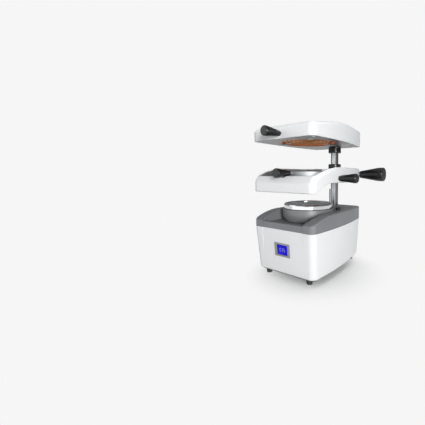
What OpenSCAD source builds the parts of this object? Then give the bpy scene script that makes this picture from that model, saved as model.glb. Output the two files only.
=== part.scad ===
// Bench-top vacuum former for round dental sheets.
// The origin lies on the floor below the middle of the whole machine. The front looks along -Y.
// Every piece is drawn from the axis of the vacuum table, and then set in its place by from_table().

/* [Plan outline] */
// Half of the greatest width of the casings
plan_half_w = 84.2; // [80:0.1:92]
// Distance of the widest place in front of the table centre
plan_wide_y = -19; // [-30:1:0]
// Radius of the bowed sides
plan_side_r = 700; // [600:10:1200]
// Distance of the front face before the table centre
front_reach = 94.3; // [90:0.1:104]
// Distance of the rear face behind the table centre
rear_reach = 135; // [134:0.5:145]
// Corner radius at the front
front_corner_r = 14; // [11:0.5:18]
// Corner radius at the rear
rear_corner_r = 10; // [9:0.5:14]

/* [Base housing] */
// Height of the rubber feet
foot_h = 10; // [8:0.5:14]
// Largest radius of a foot
foot_r = 6.8; // [6:0.1:8]
// Thickness of the bottom plate
bottom_plate_t = 1.5; // [1:0.1:2.5]
// Height of the seam between housing and cover above the floor
seam_z = 106.5; // [104:0.5:112]
// Wall of the housing and the cover
wall = 2.8; // [2.2:0.1:3.2]
// How far the front leans back at its foot
front_rake = 8.3; // [4:0.1:10]
// How far each side leans in at its foot
side_taper = 4.8; // [2:0.1:6]
// How far the rear leans in at its foot
rear_rake = 3; // [1:0.1:4]
// Radius of the rounded bottom edge
bottom_round = 6; // [4:0.5:7]
// Half of the distance between the two creases of the front panel
crease_x = 55; // [50:0.5:58]
// Depth of the creases
crease_depth = 0.8; // [0.4:0.1:1.2]
// Height of the lower end of the creases above the floor
crease_foot_z = 49; // [40:1:60]

/* [Top cover] */
// Height of the rear deck above the seam
deck_h = 31.2; // [28:0.1:35]
// Height of the front lip above the seam
lip_h = 13; // [11:0.1:14.4]
// Height of the wings above the seam at their front end
wing_front_h = 14.5; // [13.5:0.1:18]
// Place along the depth where the wings reach the deck height
wing_level_y = -15; // [-30:1:0]
// Width of the wings
wing_w = 24; // [22:0.5:26]
// Depth of the front lip
lip_w = 10; // [8:0.5:13]
// Height of the tray floor above the seam
tray_h = 8; // [6.5:0.1:9.5]
// Gap between the vacuum table and the round part of the tray
tray_gap = 1.8; // [1.3:0.1:2.3]
// Fillet along the top edge of the cover
cover_fillet = 3; // [1.5:0.5:4]

/* [Vacuum table] */
// Outer radius of the chrome ring at its foot
ring_r = 56.5; // [54:0.1:60]
// Width of the chrome ring
ring_w = 5.5; // [4.5:0.1:6.5]
// Height of the chrome ring
ring_h = 9.8; // [8:0.1:11]
// How far the rim of the table stands out before the ring
pedestal_lip = 2.7; // [2:0.1:3.5]
// How far the foot of the table lies in from its rim
pedestal_foot_in = 8.2; // [5:0.1:11]
// Height of the table rim above the tray floor
pedestal_h = 28.7; // [26:0.1:31]
// Height over which the bowl curves out
pedestal_curve_h = 20; // [14:1:24]
// Thickness of the seal below the chrome ring
table_seal_t = 1; // [0.6:0.1:1.5]
// Thickness of the perforated plate
plate_t = 3; // [2:0.1:4]
// How far the plate lies below the top of the ring
plate_sink = 2.5; // [1.5:0.1:3.5]
// Diameter of the suction holes
hole_d = 2.6; // [1.6:0.1:3]
// Number of rings of suction holes
hole_rings = 5; // [3:1:6]
// Radius of the suction throat
throat_r = 16; // [12:1:18]

/* [Vacuum motor] */
// Outer radius of the fan case
fan_case_r = 60; // [56:1:62]
// Height of the fan case
fan_case_h = 34; // [30:1:36]
// Radius of the motor barrel
barrel_r = 40; // [36:1:44]
// Wall of the fan case
fan_wall = 2; // [1.5:0.1:3]
// Gap between the fan wheel and its case
fan_gap = 4; // [3:0.5:8]
// Number of fan blades
blade_count = 11; // [7:1:13]
// Diameter of the motor shaft
shaft_d = 8; // [6:0.5:10]
// Height of the rubber mount below the motor
mount_h = 12; // [10:0.5:16]
// Height of the motor from its foot to the top of the fan case
motor_h = 76; // [70:1:78]

/* [Column] */
// Outer diameter of the column
column_d = 19.8; // [18:0.1:21]
// Wall of the column tube
column_wall = 2.5; // [2:0.1:3.5]
// Distance of the column axis before the rear face
column_in = 16; // [15.5:0.5:18]
// Radius of the black collars
collar_r = 16.6; // [15:0.1:18]
// Height of the lower end of the column above the floor
column_foot_z = 96; // [90:1:100]
// Diameter of the guide pin beside the column
pin_d = 3; // [2.5:0.1:3.5]
// Place of the guide pin to the left of the column
pin_x = -14.4; // [-15.5:0.1:-14.2]
// Height of the guide pin above the deck
pin_h = 42.8; // [38:0.1:43.3]

/* [Sheet frame] */
// Height of the underside of the web above the floor
web_z = 201.5; // [200.5:0.1:202]
// How far the front bar reaches down below the web
front_bar_drop = 19.2; // [17:0.1:20]
// Height of the front bar above the underside of the web
front_bar_h = 9.9; // [8:0.1:11]
// Height of the arms above the underside of the web
arm_h = 33.1; // [31:0.1:35]
// Depth of the front bar
front_bar_d = 10; // [8:0.5:14]
// Wall of the arms
arm_w = 5; // [4:0.1:6]
// Thickness of the web
web_t = 3.5; // [3:0.1:4.5]
// Distance between the clamp ring and the hub block
hub_gap = 20.5; // [19:0.1:22]
// Wall of the grey liner
liner_t = 2; // [1.5:0.1:2.5]
// Height of the plane in which the sheet lies above the underside of the web
sheet_h = 6.5; // [6:0.1:7.5]
// Gap between the chrome ring and the opening that comes down over it
sheet_open_gap = 2; // [1.5:0.1:3]
// Width of the support ring
support_w = 7.5; // [7:0.1:8.5]
// Height of the clamp ring
clamp_h = 17.5; // [14:0.5:20]
// Wall of the clamp ring
clamp_wall = 5; // [4:0.1:5.5]
// Height of the flange of the lower collar
bush_flange_h = 12; // [8:0.5:14]
// Radius of the sleeve of the lower collar
bush_r = 11.8; // [11.3:0.1:11.9]

/* [Heater head] */
// Height of the underside of the heater above the floor
heater_z = 289.6; // [287:0.1:292]
// Height of the side wall at the front
heater_front_h = 20.4; // [18:0.1:24]
// Height of the side wall at the rear
heater_rear_h = 36.4; // [32:0.1:38]
// Rise of the crowned top above the side walls
crown_h = 8; // [5:0.5:10]
// Wall of the heater cover
heater_wall = 2.6; // [2:0.1:3]
// Height of the upper collar
stop_h = 13.5; // [10:0.5:15]
// Thickness of the base plate of the heater
under_t = 1.2; // [1:0.1:2]
// Radius of the heater opening
heater_open_r = 62; // [60:0.5:64]
// Radius of the heating tube
tube_r = 3.2; // [2.5:0.1:3.4]
// Distance of the outermost turn from the edge of the heater opening
coil_edge = 8; // [7.5:0.1:10]
// Number of turns of the heating tube
coil_turns = 4.5; // [3:0.5:5]
// Distance between neighbouring turns
coil_pitch = 9; // [8:0.1:10]
// Height of the hub of the heater
heater_hub_h = 25; // [20:1:27]

/* [Handles and knobs] */
// Length of a hand grip
grip_len = 41; // [36:0.5:44]
// Radius of a hand grip at its root
grip_root_r = 5.5; // [5:0.1:6]
// Radius of a hand grip at its end
grip_end_r = 9.6; // [8.5:0.1:9.8]
// Height of the heater grip above the underside of the heater
heater_grip_h = 9.6; // [8:0.1:12]
// Height of the clamp grip above the underside of the web
clamp_grip_h = 20.1; // [19.5:0.1:21.5]
// Length of the locking knob
lock_len = 61; // [55:1:66]
// Radius of the locking knob at its root
lock_root_r = 8.8; // [8:0.1:10]
// Radius of the locking knob at its end
lock_end_r = 16.3; // [15:0.1:17.5]
// Height of the locking knob above the underside of the web
lock_h = 17.8; // [16:0.1:20]
// Diameter of the locking screw
lock_screw_d = 8; // [6:1:8]
// Place of the side knob along the depth
side_knob_y = -4; // [-10:1:0]
// Height of the side knob above the underside of the web
side_knob_h = 9.4; // [9.3:0.1:10.5]
// Diameter of the threaded pins of the grips
grip_pin_d = 5; // [4:0.5:5]

/* [Display and switches] */
// Width of the display frame
display_w = 40; // [36:0.5:44]
// Height of the display frame
display_h = 28.5; // [26:0.5:32]
// Height of the middle of the display above the floor
display_z = 64.4; // [60:0.5:70]
// Width of the display window
window_w = 29; // [26:0.5:31]
// Height of the display window
window_h = 22; // [20:0.5:23]
// Radius of the start button
button_r = 4.5; // [4:0.1:5]
// Distance of the start button from the edge of the tray
button_in = 7.9; // [7:0.1:9]
// Angle of the start button round the table axis
button_deg = 24.9; // [20:0.1:40]
// Travel of the start button
button_travel = 2; // [1:0.1:2.5]
// Width of the mains switch
rocker_w = 14; // [12:0.5:16]
// Height of the mains switch
rocker_h = 21; // [19:0.5:24]
// Height of the middle of the mains fittings above the floor
mains_z = 38; // [36:0.5:42]

/* [Clearances] */
// Clearance between fixed pieces
fit_gap = 0.15; // [0.1:0.01:0.2]
// Radial clearance of a turning or sliding fit
run_gap = 0.05; // [0.02:0.01:0.08]
// Clearance between pieces that pass each other
free_gap = 0.3; // [0.3:0.05:0.5]

/* [Hidden] */

CURVE_FN = 96;
SMALL_FN = 36;
corner_steps = 5;
side_steps = 14;
cut = 1;

front_y = -front_reach;
rear_y = rear_reach;
side_cx = plan_half_w - plan_side_r;
plate_z = foot_h;
base_z = plate_z + bottom_plate_t;
rake_deg = atan(front_rake / (seam_z - base_z));
column_r = column_d / 2;
column_y = rear_y - column_in;
coil_r = heater_open_r - coil_edge;
deck_z = seam_z + deck_h;
lip_z = seam_z + lip_h;
wing_front_z = seam_z + wing_front_h;
tray_z = seam_z + tray_h;
ring_bore_r = ring_r - ring_w;
pedestal_r = ring_r + pedestal_lip;
pedestal_foot_r = pedestal_r - pedestal_foot_in;
tray_r = pedestal_r + tray_gap;
pedestal_z = tray_z + pedestal_h;
ring_top_z = pedestal_z + table_seal_t + ring_h;
fan_r = fan_case_r - fan_wall - fan_gap;
pin_top_z = deck_z + pin_h;
frame_front_z = web_z - front_bar_drop;
frame_front_top_z = web_z + front_bar_h;
frame_top_z = web_z + arm_h;
sheet_z = web_z + sheet_h;
sheet_open_r = ring_r + sheet_open_gap;
support_r = sheet_open_r + support_w;
clamp_r = sheet_open_r + clamp_wall;
hub_y = clamp_r + hub_gap;
heater_grip_z = heater_z + heater_grip_h;
clamp_grip_z = web_z + clamp_grip_h;
lock_z = web_z + lock_h;
side_knob_z = web_z + side_knob_h;
button_x = (tray_r + button_in) * cos(button_deg);
button_y = (tray_r + button_in) * sin(button_deg);

white = "#F1F2F2";
grey = "#7C7E7E";
charcoal = "#2B2D2E";
steel = "#C8CBCD";

// Points of an arc from one angle to another
function arc(c, r, a0, a1, steps) =
    [for (i = [0:steps]) let (a = a0 + (a1 - a0) * i / steps) [c.x + r * cos(a), c.y + r * sin(a)]];

// Half width of the plan at a given depth
function half_width(y) = side_cx + sqrt(pow(plan_side_r, 2) - pow(y - plan_wide_y, 2));

// Right half of the plan, from the front middle to the rear middle, for a given inset of each face
function half_plan(side_in, y_front, y_rear, r_front, r_rear) =
    let (
        r = plan_side_r - side_in,
        fy = y_front + r_front,
        ry = y_rear - r_rear,
        fc = [side_cx + sqrt(pow(r - r_front, 2) - pow(fy - plan_wide_y, 2)), fy],
        rc = [side_cx + sqrt(pow(r - r_rear, 2) - pow(ry - plan_wide_y, 2)), ry],
        fa = atan2(fc.y - plan_wide_y, fc.x - side_cx),
        ra = atan2(rc.y - plan_wide_y, rc.x - side_cx),
        side = arc([side_cx, plan_wide_y], r, fa, ra, side_steps)
    )
    concat(
        arc(fc, r_front, -90, fa, corner_steps),
        [for (i = [1:side_steps - 1]) side[i]],
        arc(rc, r_rear, ra, 90, corner_steps)
    );

// Plan set in by the same distance all round
function plan(inset) =
    half_plan(inset, front_y + inset, rear_y - inset,
        max(front_corner_r - inset, 2), max(rear_corner_r - inset, 2));

// Closed outline from a half outline
function whole(half) =
    concat(half, [for (i = [len(half) - 1:-1:0]) [-half[i].x, half[i].y]]);

// Closed ring in space, whose height follows a function of the depth
function ring(half, height) = [for (p = whole(half)) [p.x, p.y, height(p.y)]];

// Level ring
function level(half, z) = [for (p = whole(half)) [p.x, p.y, z]];

// Solid skinned over symmetric rings from the lowest to the highest
module skin(rings) {
    n = len(rings[0]);
    h = n / 2;
    top = (len(rings) - 1) * n;
    walls = [for (j = [0:len(rings) - 2]) for (i = [0:n - 1])
        let (a = j * n + i, b = j * n + (i + 1) % n, c = b + n, d = a + n)
        each [[a, d, c], [a, c, b]]];
    floor_faces = [for (i = [0:h - 2]) [i, i + 1, n - 2 - i, n - 1 - i]];
    roof_faces = [for (i = [0:h - 2]) [top + n - 1 - i, top + n - 2 - i, top + i + 1, top + i]];
    polyhedron(points = [for (r = rings) each r], faces = concat(walls, floor_faces, roof_faces));
}

// Flat slab of the plan, with straight walls
module plan_slab(inset, z, t) {
    translate([0, 0, z]) linear_extrude(t) polygon(whole(plan(inset)));
}

// Ring of rectangular section round the table axis
module tube(r_out, r_in, z, h, fn = CURVE_FN) {
    translate([0, 0, z]) difference() {
        cylinder(r = r_out, h = h, $fn = fn);
        translate([0, 0, -cut]) cylinder(r = r_in, h = h + 2 * cut, $fn = fn);
    }
}

// Moves its children from the table axis to their place in the machine
module from_table() {
    left = plan_half_w;
    right = lock_face_x + lock_neck + lock_len;
    front = front_reach + grip_seat + fit_gap + grip_len;
    rear = rear_reach - rear_lean(mains_z) + fuse_proud;
    translate([(left - right) / 2, (front - rear) / 2, 0]) children();
}

// Moves its children to the column axis
module at_column(z = 0) {
    translate([0, column_y, z]) children();
}

// How far each face of the housing leans in at a height
function lean(z) = (seam_z - z) / (seam_z - base_z);
function front_lean(z) = front_rake * lean(z);
function rear_lean(z) = rear_rake * lean(z);

// Half plan of the housing at a height
function base_half(z, inset) =
    half_plan(side_taper * lean(z) + inset, front_y + front_lean(z) + inset, rear_y - rear_lean(z) - inset,
        max(front_corner_r - inset, 2), max(rear_corner_r - inset, 2));

// Places its children on the leaning front face, centred at a height
module on_front(z) {
    translate([0, front_y + front_lean(z), z]) rotate([rake_deg, 0, 0]) children();
}

// Places its children on the leaning rear face
rear_deg = atan(rear_rake / (seam_z - base_z));
module on_rear(x, z) {
    translate([x, rear_y - rear_lean(z), z]) rotate([-rear_deg, 0, 0]) children();
}

// Place at a depth, a distance in from the left or the right side
function at_side(side, y, inset) = [side * (half_width(y) - inset), y];

// Upright round hole or post at each of a list of places
module posts(places, r, z, h) {
    for (p = places) translate([p.x, p.y, z]) cylinder(r = r, h = h, $fn = SMALL_FN);
}

boss_r = 4.2;
foot_screw_r = 1.5;
table_screw_r = 1.3;
socket_screw_r = 1.5;
long_screw_r = 1.6;
boss_in = 13.5;
boss_at = [for (s = [-1, 1], y = [front_y + 34.3, rear_y - 39]) at_side(s, y, boss_in)];
foot_front_in = 22.3;
foot_rear_in = 23;
foot_at = [for (s = [1, -1]) each
    [at_side(s, front_y + foot_front_in, 26.2), at_side(s, rear_y - foot_rear_in, 19.8)]];
lip_in = bottom_round + 11;
slot_w = 2.6;
slot_h = 24;
slot_pitch = 5.6;
slot_z = 72;
slot_count = 11;
inlet_w = 27.4;
inlet_h = 20;
inlet_x = -24;
switch_x = 20;
fuse_x = 44;
fuse_r = 6.2;
fuse_proud = 3.5;
grip_seat = 2;
loose_hole_r = 1.7;
thread_gap = 0.02;

module base_housing() color(white) from_table() {
    round_steps = 3;
    outer = concat(
        [for (i = [0:round_steps]) let (a = 90 * i / round_steps, z = base_z + bottom_round * (1 - cos(a)))
            level(base_half(z, bottom_round * (1 - sin(a))), z)],
        [level(base_half(seam_z, 0), seam_z)]);
    difference() {
        union() {
            difference() {
                skin(outer);
                skin([level(base_half(base_z + wall, wall + 1), base_z + wall),
                      level(base_half(base_z + wall + 2, wall), base_z + wall + 2),
                      level(base_half(seam_z + cut, wall), seam_z + cut)]);
            }
            posts(boss_at, boss_r, base_z, seam_z - base_z);
        }
        difference() {
            plan_slab(lip_in, base_z - cut, wall + 2 * cut);
            posts(foot_at, foot_r + 3, base_z - 2 * cut, wall + 4 * cut);
        }
        posts(boss_at, long_screw_r + fit_gap, base_z - cut, seam_z);
        posts(foot_at, foot_screw_r + thread_gap, base_z - cut, wall + 2 * cut);
        for (s = [-1, 1]) crease(s);
        on_front(display_z) cube([display_w - 3, 4 * wall, display_h - 3], center = true);
        on_rear(inlet_x, mains_z)
            cube([inlet_w + 2 * fit_gap, 4 * wall, inlet_h + 2 * fit_gap], center = true);
        on_rear(switch_x, mains_z) cube([rocker_w + 2.4, 4 * wall, rocker_h + 2.4], center = true);
        on_rear(fuse_x, mains_z) rotate([90, 0, 0])
            cylinder(r = fuse_r + fit_gap, h = 4 * wall, center = true, $fn = SMALL_FN);
        for (i = [0:slot_count - 1])
            on_rear((i - (slot_count - 1) / 2) * slot_pitch, slot_z)
                cube([slot_w, 4 * wall, slot_h], center = true);
    }
}

// Groove that tapers out towards its foot, on the leaning front
module crease(side) {
    foot = [side * crease_x, front_y + front_lean(crease_foot_z), crease_foot_z];
    head = [side * crease_x, front_y, seam_z];
    hull() {
        translate(foot) cylinder(r = 0.05, h = 0.1, $fn = 4);
        translate(head) cylinder(r = crease_depth, h = cut, $fn = 4);
    }
}

plate_in = bottom_round - 0.5;

module bottom_plate() color("#3A3C3E") from_table() {
    vent_pitch = 9;
    translate([0, 0, plate_z]) linear_extrude(bottom_plate_t) difference() {
        polygon(whole(base_half(base_z, plate_in)));
        for (p = concat(boss_at, foot_at)) translate(p) circle(r = loose_hole_r, $fn = SMALL_FN);
        for (i = [-3:3], j = [-3:3])
            if (norm([i, j]) < 3.3) translate([i * vent_pitch, j * vent_pitch]) circle(d = 4, $fn = 16);
    }
}

module housing_screws() color(steel) from_table() {
    head_h = 2;
    posts(boss_at, 3, plate_z - head_h, head_h);
    posts(boss_at, long_screw_r, plate_z, seam_z + 7 - plate_z);
}

module rubber_feet() color("#26282A") from_table() {
    seat_h = 6;
    for (p = foot_at) translate([p.x, p.y, 0]) rotate_extrude($fn = SMALL_FN) polygon([
        [2.9, 0], [foot_r - 1.6, 0], [foot_r - 0.9, 0.6], [foot_r, foot_h - 2.5], [foot_r, foot_h],
        [loose_hole_r, foot_h], [loose_hole_r, seat_h], [2.9, seat_h]
    ]);
}

module foot_screws() color(steel) from_table() {
    seat_h = 6;
    for (p = foot_at) translate([p.x, p.y, 0]) rotate_extrude($fn = SMALL_FN) polygon([
        [0, seat_h - 2.2], [2.2, seat_h - 2.2], [2.7, seat_h - 1.6], [2.7, seat_h],
        [foot_screw_r, seat_h], [foot_screw_r, base_z + wall + 2], [0, base_z + wall + 2]
    ]);
}

// Height of the wings and the deck at a given depth
wing_rise = deck_z - wing_front_z;
wing_run = wing_level_y - front_y;
wing_arc_r = (pow(wing_run, 2) + pow(wing_rise, 2)) / (2 * wing_rise);
function cover_top(y) =
    y >= wing_level_y ? deck_z
        : deck_z - wing_arc_r + sqrt(pow(wing_arc_r, 2) - pow(min(wing_level_y - y, wing_run), 2));

tray_front_y = front_y + lip_w;
tray_rear_y = 20;
tray_floor_t = 3;
function tray_half(grow) =
    half_plan(wing_w - grow, tray_front_y - grow, tray_rear_y + grow, 6, 4);

module cover_outer() {
    f = cover_fillet;
    skin([
        level(plan(0), seam_z),
        ring(plan(0), function (y) cover_top(y) - f),
        ring(plan(0.3 * f), function (y) cover_top(y) - 0.3 * f),
        ring(plan(f), function (y) cover_top(y))
    ]);
}

module cover_inside() {
    difference() {
        skin([
            level(plan(wall), seam_z - cut),
            ring(plan(wall), function (y) cover_top(y) - wall - cover_fillet),
            ring(plan(wall + cover_fillet), function (y) cover_top(y) - wall)
        ]);
        tray_space(tray_z - tray_floor_t, wall);
        at_column(deck_z - column_block_h) translate([-flange_w / 2, -flange_front, 0])
            cube([flange_w, flange_d, 20]);
        posts(boss_at, boss_r, seam_z, 40);
    }
}

// Space of the tray from a height upwards, grown by a wall
module tray_space(z, grow) {
    skin([level(tray_half(grow - 1.5), z), level(tray_half(grow + 1), deck_z + 5)]);
    translate([0, 0, z]) cylinder(r = tray_r + grow, h = deck_z + 5 - z, $fn = CURVE_FN);
}

// Block below the deck that carries the column, and the flange of its socket
column_block_h = 9;
flange_w = 52;
flange_d = 32;
flange_front = 20;
flange_t = 5;
flange_z = deck_z - column_block_h - fit_gap - flange_t;
socket_screw_at = [for (x = [-21, 21], y = [-15, 7]) [x, column_y + y]];

table_screw_at = [for (a = [45:90:315]) [38 * cos(a), 38 * sin(a)]];

module top_cover() color(grey) from_table() {
    difference() {
        cover_outer();
        cover_inside();
        tray_space(tray_z, 0);
        translate([-crease_x, front_y - 5, lip_z]) cube([2 * crease_x, lip_w + 15, 40]);
        for (s = [-1, 1]) translate([s * crease_x, front_y, seam_z - cut])
            cylinder(r = crease_depth, h = deck_z, $fn = 4);
        translate([0, 0, seam_z]) cylinder(r = throat_r, h = 40, $fn = CURVE_FN);
        at_column(seam_z) cylinder(r = column_r + fit_gap, h = 60, $fn = CURVE_FN);
        translate([pin_x, column_y, seam_z]) cylinder(r = pin_d / 2 + run_gap, h = 60, $fn = SMALL_FN);
        translate([button_x, button_y, seam_z]) cylinder(r = button_r + free_gap, h = 60, $fn = SMALL_FN);
        posts(boss_at, long_screw_r + thread_gap, seam_z - cut, 9);
        posts(table_screw_at, loose_hole_r, seam_z, 40);
        posts(socket_screw_at, socket_screw_r + thread_gap, deck_z - column_block_h - cut, 7);
    }
}

bezel_proud = 1.2;
bezel_depth = 4;

module display_frame() color("#8A8C8C") from_table() on_front(display_z) difference() {
    union() {
        translate([0, -bezel_proud / 2, 0]) cube([display_w, bezel_proud, display_h], center = true);
        translate([0, bezel_depth / 2, 0])
            cube([display_w - 3 - 2 * fit_gap, bezel_depth, display_h - 3 - 2 * fit_gap], center = true);
    }
    cube([window_w, 40, window_h], center = true);
}

module display_window() color("#1B17D8") from_table() on_front(display_z)
    translate([0, bezel_depth / 2 - 0.3, 0])
        cube([window_w - 2 * fit_gap, bezel_depth, window_h - 2 * fit_gap], center = true);

module display_board() color("#1F5F3A") from_table() on_front(display_z) {
    chip_t = 3;
    board_y = bezel_depth + fit_gap + 0.5;
    translate([0, board_y + board_t / 2, -1])
        cube([display_w + 4, board_t, display_h + 7.5], center = true);
    translate([0, board_y + board_t + chip_t / 2 - 0.01, 2])
        cube([display_w / 3, chip_t, display_h / 3], center = true);
}

module vacuum_table() color("#77797A") from_table() difference() {
    rotate_extrude($fn = CURVE_FN) polygon(concat(
        [[throat_r, tray_z]],
        [for (i = [0:8]) let (a = 90 * i / 8)
            [pedestal_foot_r + (pedestal_r - pedestal_foot_r) * sin(a),
             tray_z + pedestal_curve_h * (1 - cos(a))]],
        [[pedestal_r, pedestal_z - 0.8], [pedestal_r - 0.8, pedestal_z], [ring_bore_r - fit_gap, pedestal_z],
         [ring_bore_r - fit_gap, plate_seat_z], [ring_bore_r - 4, plate_seat_z],
         [ring_bore_r - 4, tray_z + 22], [throat_r + 8, tray_z + 5], [throat_r, tray_z + 5]]
    ));
    posts(table_screw_at, table_screw_r + thread_gap, tray_z - cut, 8);
}

plate_seat_z = ring_top_z - plate_sink - plate_t;

module table_seal() color("#1C1D1E") from_table()
    tube(pedestal_r - 1.4, ring_bore_r, pedestal_z, table_seal_t);

module table_ring() color("#D8DBDD") from_table() rotate_extrude($fn = CURVE_FN) polygon([
    [ring_bore_r, pedestal_z + table_seal_t], [ring_r, pedestal_z + table_seal_t],
    [ring_r - 0.3, ring_top_z - 3], [ring_r - 1, ring_top_z - 1.2], [ring_r - 2.2, ring_top_z - 0.2],
    [ring_r - 3.2, ring_top_z], [ring_bore_r + 1.2, ring_top_z - 0.5], [ring_bore_r, ring_top_z - 1.6]
]);

module perforated_plate() color("#8F9192") from_table() {
    step = (ring_bore_r - 6) / hole_rings;
    translate([0, 0, plate_seat_z]) linear_extrude(plate_t) difference() {
        circle(r = ring_bore_r - fit_gap, $fn = CURVE_FN);
        circle(d = hole_d, $fn = 16);
        for (k = [1:hole_rings], i = [0:6 * k - 1])
            rotate(60 * i / k) translate([k * step, 0]) circle(d = hole_d, $fn = 16);
    }
}

module table_screws() color(steel) from_table() {
    head_h = 2.2;
    head_z = tray_z - tray_floor_t - head_h;
    posts(table_screw_at, 2.8, head_z, head_h);
    posts(table_screw_at, table_screw_r, head_z, tray_z + 6 - head_z);
}

motor_z = base_z + mount_h;
motor_top_z = motor_z + motor_h;
case_z = motor_top_z - fan_case_h;
eye_r = 20;

module motor_seal() color("#2A2B2C") from_table()
    tube(eye_r + 10, eye_r, motor_top_z, tray_z - tray_floor_t - motor_top_z);

module motor_mount() color("#2A2B2C") from_table()
    tube(barrel_r + 4, barrel_r - 10, base_z, mount_h);

module motor_body() color("#B9BCBE") from_table() {
    difference() {
        union() {
            translate([0, 0, case_z]) cylinder(r = fan_case_r, h = fan_case_h, $fn = CURVE_FN);
            translate([0, 0, motor_z]) cylinder(r = barrel_r, h = case_z - motor_z + cut, $fn = CURVE_FN);
        }
        translate([0, 0, case_z + fan_wall])
            cylinder(r = fan_case_r - fan_wall, h = fan_case_h - 2 * fan_wall, $fn = CURVE_FN);
        translate([0, 0, motor_top_z - 2 * fan_wall]) cylinder(r = eye_r, h = 3 * fan_wall, $fn = CURVE_FN);
        translate([0, 0, motor_z + 12]) cylinder(r = shaft_d / 2 + run_gap, h = motor_h, $fn = SMALL_FN);
        for (a = [0:30:330]) rotate([0, 0, a]) translate([barrel_r - 3, -2, motor_z + 10]) cube([8, 4, 18]);
    }
}

module fan_wheel() color("#9DA1A4") from_table() {
    disc_z = case_z + fan_wall + 4;
    blade_h = fan_case_h - 2 * fan_wall - 12;
    shaft_z = motor_z + 14;
    translate([0, 0, disc_z]) cylinder(r = fan_r, h = 2, $fn = CURVE_FN);
    translate([0, 0, disc_z]) cylinder(r = 9, h = blade_h, $fn = SMALL_FN);
    translate([0, 0, shaft_z]) cylinder(d = shaft_d, h = disc_z + blade_h + 3 - shaft_z, $fn = SMALL_FN);
    for (i = [0:blade_count - 1]) rotate([0, 0, 360 * i / blade_count])
        translate([0, 0, disc_z + 1]) linear_extrude(blade_h) fan_blade();
    tube(fan_r, eye_r + 2, disc_z + blade_h, 1.5);
}

// Section of one blade, curved back from the direction of turning
module fan_blade() {
    root = eye_r + 4;
    blade_r = 34;
    intersection() {
        translate([root - 6, 28]) difference() {
            circle(r = blade_r, $fn = CURVE_FN);
            circle(r = blade_r - 1.6, $fn = CURVE_FN);
        }
        difference() {
            circle(r = fan_r - 1, $fn = CURVE_FN);
            circle(r = root, $fn = CURVE_FN);
        }
        translate([0, -60]) square([80, 62]);
    }
}

board_z = 20;
board_t = 1.6;
board_w = 80;
board_d = 40;
board_rear_in = 35;
board_post_in = 6;

// Circuit board on four posts, with a transformer, a relay, a capacitor and a connector
module control_board() color("#1F5F3A") from_table() translate([0, rear_y - board_rear_in - board_d, 0]) {
    post_x = board_w / 2 - board_post_in;
    parts_z = board_z + board_t;
    posts([for (x = [-post_x, post_x], y = [board_post_in, board_d - board_post_in]) [x, y]],
        3, base_z, board_z - base_z);
    translate([-board_w / 2, 0, board_z]) cube([board_w, board_d, board_t]);
    translate([-34, 4, parts_z]) cube([26, 22, 20]);
    translate([2, 6, parts_z]) cube([18, 14, 15]);
    translate([29, 12, parts_z]) cylinder(r = 5, h = 16, $fn = SMALL_FN);
    translate([0, 30, parts_z]) cube([30, 7, 9]);
}

module mains_inlet() color(charcoal) from_table() on_rear(inlet_x, mains_z) difference() {
    union() {
        translate([0, 1.25, 0]) cube([50, 2.5, 23], center = true);
        translate([0, -9, 0]) cube([inlet_w, 18, inlet_h], center = true);
    }
    difference() {
        translate([0, -4, 0]) cube([24.4, 26, 16.6], center = true);
        for (x = [-7, 0, 7]) translate([x, -11, x == 0 ? 2 : -2]) cube([2, 14.4, 4.4], center = true);
    }
    for (s = [-1, 1]) translate([s * 20, 0, 0]) rotate([90, 0, 0])
        cylinder(r = loose_hole_r, h = 12, center = true, $fn = SMALL_FN);
}

rocker_pivot_in = 3;
rocker_tilt = 8;
rocker_pin_r = 1.2;

module mains_switch_frame() color(charcoal) from_table() on_rear(switch_x, mains_z) difference() {
    union() {
        translate([0, 1, 0]) cube([rocker_w + 5, 2, rocker_h + 5], center = true);
        translate([0, -8, 0]) cube([rocker_w + 2.1, 16, rocker_h + 2.1], center = true);
    }
    cube([rocker_w, 20, rocker_h], center = true);
    translate([0, -rocker_pivot_in, 0]) rotate([0, 90, 0])
        cylinder(r = rocker_pin_r + run_gap, h = rocker_w + 2, center = true, $fn = SMALL_FN);
}

module mains_rocker() color("#3B3D3F") from_table() on_rear(switch_x, mains_z) {
    w = rocker_w - 2 * free_gap;
    translate([0, -rocker_pivot_in, 0]) rotate([rocker_tilt, 0, 0]) rotate([0, 90, 0]) {
        cylinder(r = rocker_pin_r, h = rocker_w + 1.4, center = true, $fn = SMALL_FN);
        intersection() {
            difference() {
                cylinder(r = rocker_h / 2 - free_gap - 0.7, h = w, center = true, $fn = CURVE_FN);
                translate([0, 30, 0]) cylinder(r = 25, h = w + 2, center = true, $fn = CURVE_FN);
            }
            translate([0, 10, 0]) cube([rocker_h, 24, w], center = true);
        }
    }
}

module fuse_holder() color(charcoal) from_table() on_rear(fuse_x, mains_z) rotate([90, 0, 0]) difference() {
    union() {
        translate([0, 0, -2]) cylinder(r = fuse_r + 1.6, h = 2, $fn = SMALL_FN);
        translate([0, 0, -fuse_proud]) cylinder(r = fuse_r - 0.8, h = fuse_proud, $fn = SMALL_FN);
        cylinder(r = fuse_r, h = 26, $fn = SMALL_FN);
    }
    translate([0, 0, -fuse_proud]) cube([7, 1.2, 2], center = true);
}

button_h = 8;
switch_z = deck_z - button_h - button_travel - free_gap;

module start_button() color("#151617") from_table() translate([button_x, button_y, 0]) {
    translate([0, 0, deck_z - button_h])
        cylinder(r = button_r, h = button_h + button_travel, $fn = SMALL_FN);
    translate([0, 0, deck_z + button_travel]) rotate_extrude($fn = SMALL_FN)
        polygon(concat([[0, 0]], [for (i = [0:4]) let (a = 90 * i / 4) [button_r * cos(a), 1.2 * sin(a)]]));
}

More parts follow.
